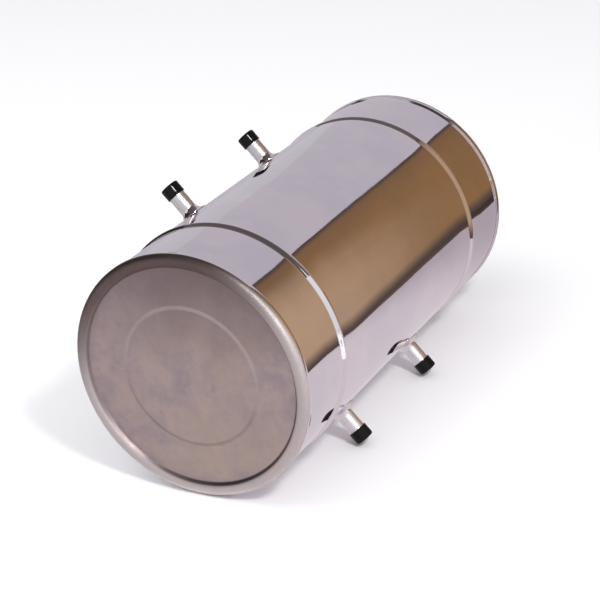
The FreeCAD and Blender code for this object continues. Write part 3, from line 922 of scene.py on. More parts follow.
def weld_tree(finish: Finish) -> GeometryTree:
    """A group that lays overlapping weld ripples along the incoming path.

    Args:
        finish: The weld's finish.

    Returns:
        The group, with inputs Pitch, Width, Height and Centre; the ripples lie flat against
        a drum whose axis runs along Y through Centre.
    """
    tree = GeometryTree("weld_ripples_along_a_path")
    pitch, width, height = tree.size("Pitch"), tree.size("Width"), tree.size("Height")
    centre = tree.size("Centre", "Vector")
    path = tree.node("GeometryNodeMeshToCurve", None, {0: tree.source.outputs[0]})
    beads = tree.node("GeometryNodeResampleCurve", {"mode": "LENGTH"},
                      {0: path, "Length": pitch})
    from_axis = tree.node("ShaderNodeVectorMath", {"operation": "SUBTRACT"},
                          {0: tree.node("GeometryNodeInputPosition"), 1: centre})
    outward = tree.node("ShaderNodeVectorMath", {"operation": "MULTIPLY"},
                        {0: from_axis, 1: (1.0, 0.0, 1.0)})
    facing = tree.node("FunctionNodeAxesToRotation",
                       {"primary_axis": "Y", "secondary_axis": "Z"},
                       {0: tree.node("GeometryNodeInputTangent"), 1: outward})
    ball = tree.node("GeometryNodeMeshUVSphere", None,
                     {"Segments": 12, "Rings": 7, "Radius": 0.5})
    jitter = tree.node("FunctionNodeRandomValue", {"data_type": "FLOAT"},
                       {2: 0.92, 3: 1.08, "Seed": 7}, output=1)
    wide = tree.node("ShaderNodeMath", {"operation": "MULTIPLY"}, {0: width, 1: jitter})
    long = tree.node("ShaderNodeMath", {"operation": "MULTIPLY"}, {0: pitch, 1: 2.6})
    scale = tree.node("ShaderNodeCombineXYZ", None, {0: wide, 1: long, 2: height})
    tree.close(tree.node("GeometryNodeInstanceOnPoints", None,
                         {"Points": beads, "Instance": ball, "Rotation": facing,
                          "Scale": scale}), finish)
    return tree


def loop_mesh(name: str, points: Sequence[Sequence[float]]) -> bpy.types.Mesh:
    """A closed chain of edges.

    Args:
        name: The mesh's name.
        points: Its points in order.

    Returns:
        The mesh, with no faces.
    """
    mesh = bpy.data.meshes.new(name)
    count = len(points)
    mesh.from_pydata([tuple(p) for p in points], [(k, (k + 1) % count) for k in range(count)], [])
    return mesh


def arc_points(centre: Point, radius: float, start: float, end: float,
               steps: int) -> list[Point]:
    """Points on an arc of an outline.

    Args:
        centre: The arc's centre, as radius and place along the axis.
        radius: The arc's radius.
        start: First angle in degrees; 0 is outwards and 90 is along the axis.
        end: Last angle in degrees.
        steps: Segments.

    Returns:
        The points, both ends included.
    """
    found = []
    for step in range(steps + 1):
        angle = math.radians(start + (end - start) * step / steps)
        found.append((centre[0] + radius * math.cos(angle), centre[1] + radius * math.sin(angle)))
    return found


def dome_points(radius: float, tip: float, edge: float, steps: int = 14) -> list[Point]:
    """Points on the outline of a shallow dome.

    Args:
        radius: The dome's radius at its edge.
        tip: Where its middle lies along the axis.
        edge: Where its edge lies.
        steps: Segments.

    Returns:
        The points, from the middle to the edge.
    """
    depth = edge - tip
    ball = (radius ** 2 + depth ** 2) / (2 * depth)
    reach = math.asin(radius / ball)
    return [(ball * math.sin(reach * k / steps),
             tip + ball * (1 - math.cos(reach * k / steps))) for k in range(steps + 1)]


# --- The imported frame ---


class Clarifier:
    """Places that every sub-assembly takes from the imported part."""

    def __init__(self, frame: dict) -> None:
        """Read the axis and the ends of the drum.
        """
        self.record = frame["record"]
        shell_low, shell_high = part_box("drum_shell")
        self.height = (shell_low.z + shell_high.z) / 2
        self.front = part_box("front_head")[0].y
        self.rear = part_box("rear_head")[1].y

    def axis(self, start: float = 0.0) -> Axis:
        """The drum's axis, with its zero at a given Y."""
        return Axis(Vector((0, start, self.height)), ALONG_Y)

    def port(self, name: str) -> Axis:
        """A port's axis, with its zero on the drum's axis."""
        mount = next(m for m in self.record["mounts"] if m["name"] == "port_" + name)
        way = Vector(mount["axis"]).normalized()
        return Axis(Vector((0, mount["pos_m"][1], self.height)), way)

    def span(self, node: str) -> tuple[float, float]:
        """Where a node starts and ends along the drum."""
        low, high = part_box(node)
        return low.y, high.y

    def turn_on(self, body: str, node: str, outline: list[Point], finish: Finish, slot: str,
                rule: Rule | None = None, segments: int = 144) -> None:
        """Turn a piece about the drum's axis and mount it in place of its node.

        Args:
            body: The body that it moves with.
            node: The CAD node that it stands for.
            outline: Its outline.
            finish: Its finish.
            slot: The record's material slot.
            rule: What changes the outline round the axis.
            segments: Steps round the axis.
        """
        mesh = turned(node + "_look", outline, self.axis(), segments, rule)
        mounted(dressed(node + "_look", mesh, finish, 32.0), body, slot, node)


# --- Drum ---


@dataclass
class Drum:
    """The rolled shell with its two beads, and the two spun heads with rolled rims."""

    place: Clarifier
    radius: float = 150 * MM
    wall: float = 1.2 * MM
    bead_width: float = 10.5 * MM
    bead_height: float = 3 * MM
    bead_spread: float = 1.3
    front_bead: float = 102 * MM
    rear_bead: float = 106 * MM
    roll: float = 8 * MM
    overhang: float = 2 * MM
    hem: float = 5 * MM
    recess: float = 7 * MM
    fillet: float = 3 * MM
    head_wall: float = 1.5 * MM
    panel_radius: float = 86.5 * MM
    panel_rise: float = 1 * MM
    panel_slope: float = 3 * MM
    neck_radius: float = 38 * MM
    seam_turn: float = 72.0
    segments: int = 288

    def build(self) -> None:
        """Make the shell and both heads."""
        self.skin()
        self.head("front_end", 1.0, 0.0, "front_head")
        self.head("rear_end", -1.0, self.neck_radius, "rear_head")
        self.seam()

    def skin(self) -> None:
        """The shell sheet, turned by rule from its beaded profile."""
        start, end = self.place.span("drum_shell")
        outer = self._side(self.radius, start, end)
        inner = self._side(self.radius - self.wall, start, end)
        profile = [(r - self.radius, y, 0.0) for r, y in outer + inner[::-1]]
        tree = turning_tree(MIRROR)
        piece = tree.build("drum_skin", loop_mesh("drum_profile", profile), MIRROR,
                           Base_Radius=self.radius, Segments=self.segments,
                           Centre=(0.0, 0.0, self.place.height))
        mounted(piece, "drum", "mirror_steel", "drum_shell")

    def _side(self, radius: float, start: float, end: float) -> list[Point]:
        """One face of the sheet, from front to rear, with soft shoulders at its beads.

        Args:
            radius: The face's radius between the beads.
            start: Where it starts along the axis.
            end: Where it ends.

        Returns:
            Its points.
        """
        beads = (self.place.front + self.front_bead, self.place.rear - self.rear_bead)
        points = [(radius, start)]
        last = start
        half = self.bead_width / 2 * self.bead_spread
        steps = 24
        for bead in beads:
            points += self._plain(radius, last, bead - half)
            for k in range(steps + 1):
                t = 2 * k / steps - 1
                rise = 0.5 + 0.5 * math.cos(math.pi * abs(t))
                points.append((radius + self.bead_height * rise ** 1.15, bead + t * half))
            last = bead + half
        points += self._plain(radius, last, end)
        points.append((radius, end))
        return points

    @staticmethod
    def _plain(radius: float, start: float, end: float) -> list[Point]:
        """Inner points of a straight stretch."""
        count = max(2, round((end - start) / 0.03))
        return [(radius, start + (end - start) * k / count) for k in range(1, count)]

    def head(self, name: str, way: float, opening: float, node: str) -> None:
        """A spun head: raised panel, recess, fillet, rolled rim and hem.

        Args:
            name: The piece's name.
            way: 1 for the front head and -1 for the rear head.
            opening: Radius of its central hole, 0 for none.
            node: The CAD node that it stands for.
        """
        base = self.place.front if way > 0 else self.place.rear
        hem_radius = self.radius + self.overhang
        roll_at = (hem_radius - self.roll, self.roll)
        along = self.recess - self.fillet
        span = self.roll + self.fillet
        drop = roll_at[1] - along
        fillet_at = (roll_at[0] - math.sqrt(span ** 2 - drop ** 2), along)
        lean = math.degrees(math.atan2(roll_at[1] - along, roll_at[0] - fillet_at[0]))
        points: list[Point] = []
        inner = [opening + (self.panel_radius - self.panel_slope - opening) * k / 8
                 for k in range(9)]
        points += [(r, self.recess - self.panel_rise) for r in inner]
        for k in range(1, 13):
            t = k / 12
            ease = t * t * (3 - 2 * t)
            points.append((self.panel_radius - self.panel_slope + 2 * self.panel_slope * t,
                           self.recess - self.panel_rise * (1 - ease)))
        points += arc_points(fillet_at, self.fillet, 90.0, lean, 8)
        points += arc_points(roll_at, self.roll, 180.0 + lean, 360.0, 28)[1:]
        points += [(hem_radius, self.roll + self.hem * 0.85),
                   (hem_radius - self.overhang * 0.2, self.roll + self.hem),
                   (self.radius + self.overhang * 0.1, self.roll + self.hem),
                   (self.radius, self.roll)]
        points += arc_points(roll_at, self.roll - self.overhang, 360.0, 180.0, 14)[1:]
        back = self.recess + self.head_wall
        points += [(roll_at[0] - self.roll + self.overhang, back),
                   (self.panel_radius + self.panel_slope, back),
                   (self.panel_radius - self.panel_slope, back - self.panel_rise),
                   (opening, back - self.panel_rise)]
        axis = Axis(Vector((0, base, self.place.height)), Vector((0, way, 0)))
        mesh = turned(name, points, axis, self.segments)
        piece = dressed(name, mesh, SATIN, 35.0)
        piece.data.materials.append(MIRROR.material())
        for face in piece.data.polygons:
            offset = face.center - axis.origin
            if math.hypot(offset.x, offset.z) > self.radius and way * offset.y > self.roll:
                face.material_index = 1
        mounted(piece, "drum", "satin_steel", node)

    def seam(self) -> None:
        """The shell's long weld, dressed nearly flush, on the side that faces the ground."""
        start, end = self.place.span("drum_shell")
        turn = math.radians(self.seam_turn)
        path = [self.place.axis().point(r, y, turn)
                for r, y in self._side(self.radius, start + self.hem, end - self.hem)]
        mesh = bpy.data.meshes.new("seam_path")
        mesh.from_pydata([tuple(p) for p in path], [(k, k + 1) for k in range(len(path) - 1)], [])
        piece = weld_tree(TURNED).build("shell_seam", mesh, TURNED, Pitch=1.6 * MM,
                                        Width=3.2 * MM, Height=0.7 * MM,
                                        Centre=tuple(self.place.axis().origin))
        mounted(piece, "drum", "mirror_steel")


# --- Ports ---


@dataclass
class Port:
    """One half-inch stub with its flared foot, the weld round it, and its push-on cap."""

    place: Clarifier
    name: str
    drum_radius: float = 150 * MM
    pipe_radius: float = 10.65 * MM
    pipe_wall: float = 1.6 * MM
    projection: float = 45 * MM
    reach: float = 5 * MM
    foot_height: float = 9 * MM
    foot_spread: float = 8 * MM
    foot_edge: float = 0.8 * MM
    cap_wall: float = 1.85 * MM
    cap_fit: float = 0.05 * MM
    cap_seat_step: float = 0.2 * MM
    cap_length: float = 16.5 * MM
    cap_gap: float = 0.3 * MM
    cap_end_wall: float = 2 * MM
    cap_round: float = 2.4 * MM
    cap_dome: float = 0.7 * MM

    def build(self) -> None:
        """Make the stub, its weld and its cap."""
        self.stub()
        self.weld()
        self.cap()

    def _drop(self, across: float) -> float:
        """How far the drum's surface falls away beside the port's axis."""
        return self.drum_radius - math.sqrt(self.drum_radius ** 2 - across ** 2)

    def stub(self) -> None:
        """The pipe with its flared, saddle-shaped foot."""
        base, top = self.drum_radius, self.drum_radius + self.foot_height
        bore = self.pipe_radius - self.pipe_wall
        end = self.drum_radius + self.projection
        points: list[Point] = [(self.pipe_radius + self.foot_spread, base - 0.4 * MM),
                               (self.pipe_radius + self.foot_spread, base + self.foot_edge * 0.5)]
        steps = 18
        for k in range(steps + 1):
            angle = math.pi / 2 * k / steps
            points.append((self.pipe_radius + self.foot_spread * (1 - math.sin(angle)),
                           base + self.foot_edge
                           + (self.foot_height - self.foot_edge) * (1 - math.cos(angle))))
        points += [(self.pipe_radius, top + 3 * MM), (self.pipe_radius, top + 12 * MM)]
        seat = self.pipe_radius - self.cap_seat_step
        start = end + self.cap_gap + self.cap_end_wall - self.cap_length - 0.3 * MM
        points += [(self.pipe_radius, start), (seat, start), (seat, end - 0.5 * MM),
                   (seat - 0.5 * MM, end),
                   (bore + 0.4 * MM, end), (bore, end - 0.4 * MM), (bore, base - self.reach),
                   (seat, base - self.reach), (seat, base - 1.4 * MM)]
        axis = self.place.port(self.name)

        def saddle(radius: float, along: float, turn: float) -> Point:
            share = max(0.0, min(1.0, (top - along) / self.foot_height))
            if along < base - self.reach * 0.5 or radius < self.pipe_radius - 0.3 * MM:
                share = 0.0
            return radius, along - self._drop(radius * math.cos(turn)) * share ** 1.2

        mesh = turned("stub_" + self.name, points, axis, 96, saddle)
        piece = dressed("stub_" + self.name, mesh, MIRROR, 50.0)
        piece.data.materials.append(PIPE.material())
        for face in piece.data.polygons:
            if (face.center - axis.origin).dot(axis.way) > top:
                face.material_index = 1
        mounted(piece, "drum", "mirror_steel", "port_stub_" + self.name)

    def weld(self) -> None:
        """The weld ripples where the foot's edge meets the shell."""
        axis = self.place.port(self.name)
        reach = self.pipe_radius + self.foot_spread + 0.2 * MM
        path = []
        for k in range(120):
            turn = 2 * math.pi * k / 120
            path.append(axis.point(reach, self.drum_radius - self._drop(reach * math.cos(turn))
                                   + 0.1 * MM, turn))
        piece = weld_tree(TURNED).build("weld_" + self.name, loop_mesh("weld_path", path),
                                        TURNED, Pitch=1.0 * MM, Width=1.3 * MM,
                                        Height=1.0 * MM,
                                        Centre=tuple(self.place.axis().origin))
        mounted(piece, "drum", "mirror_steel")

    def cap(self) -> None:
        """The push-on cap: domed end, rounded edge, and a rolled lip at its mouth."""
        bore = self.pipe_radius - self.cap_seat_step + self.cap_fit
        outer = bore + self.cap_wall
        end = self.drum_radius + self.projection + self.cap_gap + self.cap_end_wall
        mouth = end - self.cap_length
        shoulder = end - self.cap_dome
        points: list[Point] = [(bore, mouth), (bore + 0.6 * MM, mouth)]
        points += [(outer - 0.35 * MM, mouth), (outer - 0.05 * MM, mouth + 0.35 * MM),
                   (outer, mouth + 1.2 * MM), (outer - 0.15 * MM, mouth + 2.2 * MM)]
        plain = shoulder - self.cap_round - mouth - 2.2 * MM
        points += [(outer - 0.15 * MM * (1 - k / 4), mouth + 2.2 * MM + plain * k / 4)
                   for k in range(1, 4)]
        points += arc_points((outer - self.cap_round, shoulder - self.cap_round),
                             self.cap_round, 0.0, 84.0, 10)
        flat = outer - self.cap_round
        for k in range(1, 9):
            share = 1 - k / 8
            points.append((flat * share, end - self.cap_dome * share ** 2))
        points += [(0.0, end - self.cap_end_wall), (bore - 1.0 * MM, end - self.cap_end_wall),
                   (bore, end - self.cap_end_wall - 0.2 * MM)]
        mesh = turned("cap_" + self.name, points, self.place.port(self.name), 72)
        piece = dressed("cap_" + self.name, mesh, VINYL, 50.0)
        mounted(piece, f"port_cap_{self.name}_body", "black_vinyl", "port_cap_" + self.name)


# --- Neck, sleeve and seals ---


def hexed(radius: float, turn: float, count: int = 6) -> float:
    """The radius at which a flat-sided prism with these corners is met.

    Args:
        radius: Radius of its corners.
        turn: The angle looked along.
        count: How many flats it has.

    Returns:
        The radius of its side there.
    """
    half = math.pi / count
    return radius * math.cos(half) / math.cos((turn % (2 * half)) - half)


def threaded(radius: float, start: float, end: float, pitch: float,
             depth: float) -> list[Point]:
    """The outline of an outside thread.

    Args:
        radius: Its outside radius.
        start: Where it starts along the axis.
        end: Where it ends.
        pitch: Distance between crests.
        depth: How deep it is cut.

    Returns:
        The outline's points.
    """
    way = 1 if end > start else -1
    count = int(abs(end - start) / pitch)
    points = []
    for k in range(count):
        at = start + way * k * pitch
        points += [(radius, at), (radius, at + way * 0.15 * pitch),
                   (radius - depth, at + way * 0.5 * pitch),
                   (radius - depth, at + way * 0.6 * pitch)]
    return points + [(radius, start + way * count * pitch)]


@dataclass
class SleeveMounting:
    """The welded neck, the quartz sleeve in it, and what seals and carries the sleeve."""

    place: Clarifier
    sleeve_radius: float = 24 * MM
    sleeve_wall: float = 2 * MM
    clearance: float = 0.6 * MM
    dome_depth: float = 10 * MM
    seal_radius: float = 28 * MM
    nut_radius: float = 31 * MM
    neck_radius: float = 38 * MM
    notch_depth: float = 4 * MM
    notch_width: float = 5 * MM
    notches: int = 6
    socket_wall: float = 1.2 * MM
    socket_flange: float = 9 * MM

    def build(self) -> None:
        """Make all six pieces."""
        self.neck()
        self.sleeve()
        self.seal()
        self.nut()
        self.socket()
        self.cushion()

    def _bore(self) -> float:
        """The radius of the holes that the sleeve slides in."""
        return self.sleeve_radius + self.clearance

    def neck(self) -> None:
        """The turned neck, threaded for the locking ring."""
        start, end = self.place.span("lamp_neck")
        seal_start = self.place.span("sleeve_o_ring")[0]
        nut_start = self.place.span("sleeve_nut")[0]
        bore = self._bore()
        outline = [(bore, start), (self.neck_radius - 1 * MM, start),
                   (self.neck_radius, start + 1 * MM), (self.neck_radius, end - 20 * MM)]
        outline += threaded(self.neck_radius, end - 18 * MM, end - 2 * MM, 2 * MM, 0.7 * MM)
        outline += [(self.neck_radius - 0.8 * MM, end), (self.nut_radius + 0.6 * MM, end),
                    (self.nut_radius, end - 0.6 * MM), (self.nut_radius, nut_start),
                    (self.seal_radius, nut_start), (self.seal_radius, seal_start),
                    (bore, seal_start)]
        self.place.turn_on("drum", "lamp_neck", outline, TURNED, "satin_steel")

    def sleeve(self) -> None:
        """The quartz sleeve with its closed end at the front."""
        start, end = self.place.span("quartz_sleeve")
        edge = start + self.dome_depth
        bore = self.sleeve_radius - self.sleeve_wall
        outline = dome_points(self.sleeve_radius, start, edge)
        outline += [(self.sleeve_radius, end - 0.8 * MM), (self.sleeve_radius - 0.8 * MM, end),
                    (bore + 0.4 * MM, end), (bore, end - 0.4 * MM)]
        outline += dome_points(bore, start + self.sleeve_wall, edge)[::-1]
        self.place.turn_on("drum", "quartz_sleeve", outline, QUARTZ, "quartz")

    def seal(self) -> None:
        """The red ring that seals the sleeve in the neck."""
        start, end = self.place.span("sleeve_o_ring")
        half = (self.seal_radius - self.sleeve_radius) / 2
        middle = ((self.seal_radius + self.sleeve_radius) / 2, (start + end) / 2)
        self.place.turn_on("drum", "sleeve_o_ring", arc_points(middle, half, 0.0, 345.0, 23),
                           SILICONE, "silicone")

    def nut(self) -> None:
        """The ring nut behind the seal, with six spanner notches."""
        start, end = self.place.span("sleeve_nut")
        bore = self._bore()
        outline = eased([(bore, start), (self.nut_radius - 0.3 * MM, start),
                         (self.nut_radius - 0.3 * MM, end), (bore, end)], 0.5 * MM, 3)

        def notched(radius: float, along: float, turn: float) -> Point:
            step = 2 * math.pi / self.notches
            off = abs((turn + step / 2) % step - step / 2) * radius
            if along > end - 1 * MM and off < self.notch_width / 2:
                return radius, along - self.notch_depth
            return radius, along

        self.place.turn_on("drum", "sleeve_nut", outline, TURNED, "satin_steel", notched)

    def socket(self) -> None:
        """The spun cup on the front head that carries the sleeve's closed end."""
        start, end = self.place.span("sleeve_socket")
        bore = self._bore()
        wall = bore + self.socket_wall
        outline = [(bore, start), (wall + self.socket_flange, start),
                   (wall + self.socket_flange, start + self.socket_wall),
                   (wall + 2 * MM, start + self.socket_wall),
                   (wall + 0.6 * MM, start + self.socket_wall + 0.6 * MM),
                   (wall, start + self.socket_wall + 2 * MM), (wall, end - 0.4 * MM),
                   (wall - 0.4 * MM, end), (bore, end)]
        self.place.turn_on("drum", "sleeve_socket", outline, SATIN, "satin_steel")

    def cushion(self) -> None:
        """The silicone pad that the sleeve's dome sits in."""
        start, end = self.place.span("sleeve_cushion")
        tip = self.place.span("quartz_sleeve")[0]
        dome = [p for p in dome_points(self.sleeve_radius, tip, tip + self.dome_depth)
                if p[1] <= end]
        outline = [(0.0, start), (self._bore() - 0.4 * MM, start),
                   (self._bore(), start + 0.4 * MM), (self._bore(), end)] + dome[::-1]
        self.place.turn_on("drum", "sleeve_cushion", outline, SILICONE, "silicone")


# --- Lamp head ---


@dataclass
class LampHead:
    """The moulded casing behind the drum, with its gaskets, cover, screws and window."""

    place: Clarifier
    radius: float = 56.13 * MM
    wall: float = 3 * MM
    flange_radius: float = 43 * MM
    flange: float = 4 * MM
    throat_radius: float = 36 * MM
    opening: float = 27 * MM
    neck_radius: float = 38 * MM
    nut_radius: float = 31 * MM
    screws: int = 4
    screw_inset: float = 9.5 * MM
    boss_radius: float = 5 * MM
    screw_radius: float = 1.5 * MM
    screw_head_radius: float = 3 * MM
    channel: float = 1.8 * MM
    lens_radius: float = 4 * MM
    lens_rise: float = 1.5 * MM
    throat: float = 11 * MM
    post_radius: float = 3.5 * MM
    post_place: float = 34 * MM
    rib_count: int = 60
    rib_depth: float = 0.6 * MM
    segments: int = 160

    def build(self) -> None:
        """Make the casing and all that closes it."""
        self.housing()
        self.gasket("head_gasket", self.nut_radius, self.neck_radius)
        self.gasket("cover_gasket", self.radius - self.wall, self.radius - 0.4 * MM)
        self.cover()
        self.screw_set()
        self.lens()

    def housing(self) -> None:
        """The casing with its flange, its throat and shallow grip flutes, and its bosses."""
        start, end = self.place.span("head_housing")
        case = start + self.throat
        inner = self.radius - self.wall
        corners = [(self.opening, start), (self.flange_radius, start),
                   (self.flange_radius, start + self.flange),
                   (self.throat_radius, start + self.flange), (self.throat_radius, case),
                   (self.radius, case), (self.radius, case + 8 * MM), (self.radius, end - 8 * MM),
                   (self.radius, end), (inner, end), (inner, case + self.wall),
                   (self.opening, case + self.wall)]
        flute_start, flute_end = case + 7 * MM, end - 7 * MM

        def fluted(radius: float, along: float, turn: float) -> Point:
            if radius < self.radius - 0.01 * MM or not flute_start < along < flute_end:
                return radius, along
            return radius - self.rib_depth * (0.5 + 0.5 * math.cos(turn * self.rib_count)), along

        self.place.turn_on("lamp_head", "head_housing", eased(corners, 1.6 * MM, 4), CASE,
                           "head_plastic", fluted, 3 * self.segments)
        self._bosses(case + self.wall, end)

    def _bosses(self, floor: float, end: float) -> None:
        """The screw bosses on the casing's wall and the two posts of the holder's bracket."""
        boss = [(self.screw_radius, 0.0), (self.boss_radius, 0.0),
                (self.boss_radius, end - floor - 0.5 * MM),
                (self.boss_radius - 0.5 * MM, end - floor), (self.screw_radius, end - floor)]
        mesh = turned("boss", boss, Axis(Vector(), ALONG_Y), 32)
        centre = self.place.axis(floor).origin
        tree = ring_tree("bosses_round_the_casing", CASE)
        piece = tree.build("casing_bosses", mesh, CASE, Count=self.screws,
                           Radius=self.radius - self.screw_inset,
                           First_Turn=math.pi / self.screws, Centre=tuple(centre))
        mounted(piece, "lamp_head", "head_plastic")
        top = self.place.span("lamp_holder")[1] - floor
        post = [(self.screw_radius, 0.0), (self.post_radius + 1.2 * MM, 0.0),
                (self.post_radius, 3 * MM), (self.post_radius, top), (self.screw_radius, top)]
        mesh = turned("post", post, Axis(Vector(), ALONG_Y), 32)
        tree = ring_tree("posts_of_the_bracket", CASE)
        piece = tree.build("bracket_posts", mesh, CASE, Count=2, Radius=self.post_place,
                           First_Turn=math.pi / 2, Centre=tuple(centre))
        mounted(piece, "lamp_head", "head_plastic")

    def gasket(self, name: str, inner: float, outer: float) -> None:
        """A flat rubber gasket between two radii."""
        start, end = self.place.span(name)
        outline = eased([(inner, start), (outer, start), (outer, end), (inner, end)], 0.3 * MM, 2)
        self.place.turn_on("lamp_head", name, outline, RUBBER, "seal_rubber", None,
                           self.segments)

    def cover(self) -> None:
        """The rear cover, with a channel that its screw heads stand in."""
        start, end = self.place.span("head_cover")
        screw_at = self.radius - self.screw_inset
        half = self.screw_head_radius + 1.4 * MM
        corners = [(self.lens_radius, start), (self.radius, start), (self.radius, end),
                   (screw_at + half, end), (screw_at + half, end - self.channel),
                   (screw_at - half, end - self.channel), (screw_at - half, end),
                   (self.lens_radius + 3 * MM, end), (self.lens_radius + 2 * MM, end - 0.8 * MM),
                   (self.lens_radius, end - 0.8 * MM)]
        self.place.turn_on("lamp_head", "head_cover", eased(corners, 1.2 * MM, 4), CASE,
                           "head_plastic", None, self.segments)

    def screw_set(self) -> None:
        """The cover screws, with hexagon sockets in rounded heads."""
        start, end = self.place.span("cover_screws")
        head = end - self.channel + 0.2 * MM
        seat, top = head - start, end - start
        radius = self.screw_head_radius
        outline = [(0.0, 0.0), (self.screw_radius * 0.5, 0.0), (self.screw_radius, 1 * MM)]
        outline += threaded(self.screw_radius, 1.2 * MM, seat - 0.5 * MM, 0.8 * MM, 0.25 * MM)
        outline += [(self.screw_radius, seat), (radius, seat), (radius, top - 0.8 * MM),
                    (radius - 0.25 * MM, top - 0.25 * MM), (radius - 0.8 * MM, top),
                    (self.screw_radius + 0.05 * MM, top), (self.screw_radius, top - 0.1 * MM),
                    (self.screw_radius, top - 1.1 * MM), (0.0, top - 1.2 * MM)]

        def socketed(reach: float, along: float, turn: float) -> Point:
            if along > seat + 0.1 * MM and reach <= self.screw_radius + 0.06 * MM:
                return hexed(reach, turn), along
            return reach, along

        mesh = turned("screw", outline, Axis(Vector(), ALONG_Y), 48, socketed)
        tree = ring_tree("screws_round_the_cover", ZINC)
        piece = tree.build("cover_screw_set", mesh, ZINC, Count=self.screws,
                           Radius=self.radius - self.screw_inset,
                           First_Turn=math.pi / self.screws,
                           Centre=tuple(self.place.axis(start).origin))
        mounted(piece, "lamp_head", "zinc_steel", "cover_screws")

    def lens(self) -> None:
        """The blue window that shows that the lamp is lit."""
        start, end = self.place.span("indicator_lens")
        outline = [(0.0, start), (self.lens_radius, start)]
        outline += dome_points(self.lens_radius, end, end - self.lens_rise, 10)[::-1]
        self.place.turn_on("lamp_head", "indicator_lens", outline, BLUE_LENS, "lens_blue", None, 48)


@dataclass
class LockingRing:
    """The scalloped ring that pulls the casing's flange against the neck."""

    place: Clarifier
    radius: float = 49.3 * MM
    bore: float = 38.1 * MM
    pocket: float = 43.3 * MM
    lip: float = 36.3 * MM
    lip_depth: float = 3.5 * MM
    scallops: int = 24
    scallop_radius: float = 2.6 * MM
    segments: int = 576

    def build(self) -> None:
        """Turn the ring with its finger scallops."""
        start, end = self.place.span("locking_ring")
        seat = self.place.span("head_gasket")[0] - 0.3 * MM
        lip_start = end - self.lip_depth
        corners = [(self.bore, start), (self.radius, start), (self.radius, end),
                   (self.lip, end), (self.lip, lip_start), (self.pocket, lip_start),
                   (self.pocket, seat), (self.bore, seat)]

        def scalloped(radius: float, along: float, turn: float) -> Point:
            if radius < self.radius - 1.3 * MM:
                return radius, along
            step = 2 * math.pi / self.scallops
            off = abs((turn + step / 2) % step - step / 2) * radius
            if off >= self.scallop_radius:
                return radius, along
            return radius - math.sqrt(self.scallop_radius ** 2 - off ** 2), along

        mesh = turned("locking_ring_look", eased(corners, 1.2 * MM, 4), self.place.axis(),
                      self.segments, scalloped)
        mounted(dressed("locking_ring_look", mesh, GRIP, 35.0), "locking_collar",
                "ring_plastic", "locking_ring")


# --- Lamp and what the head holds ---


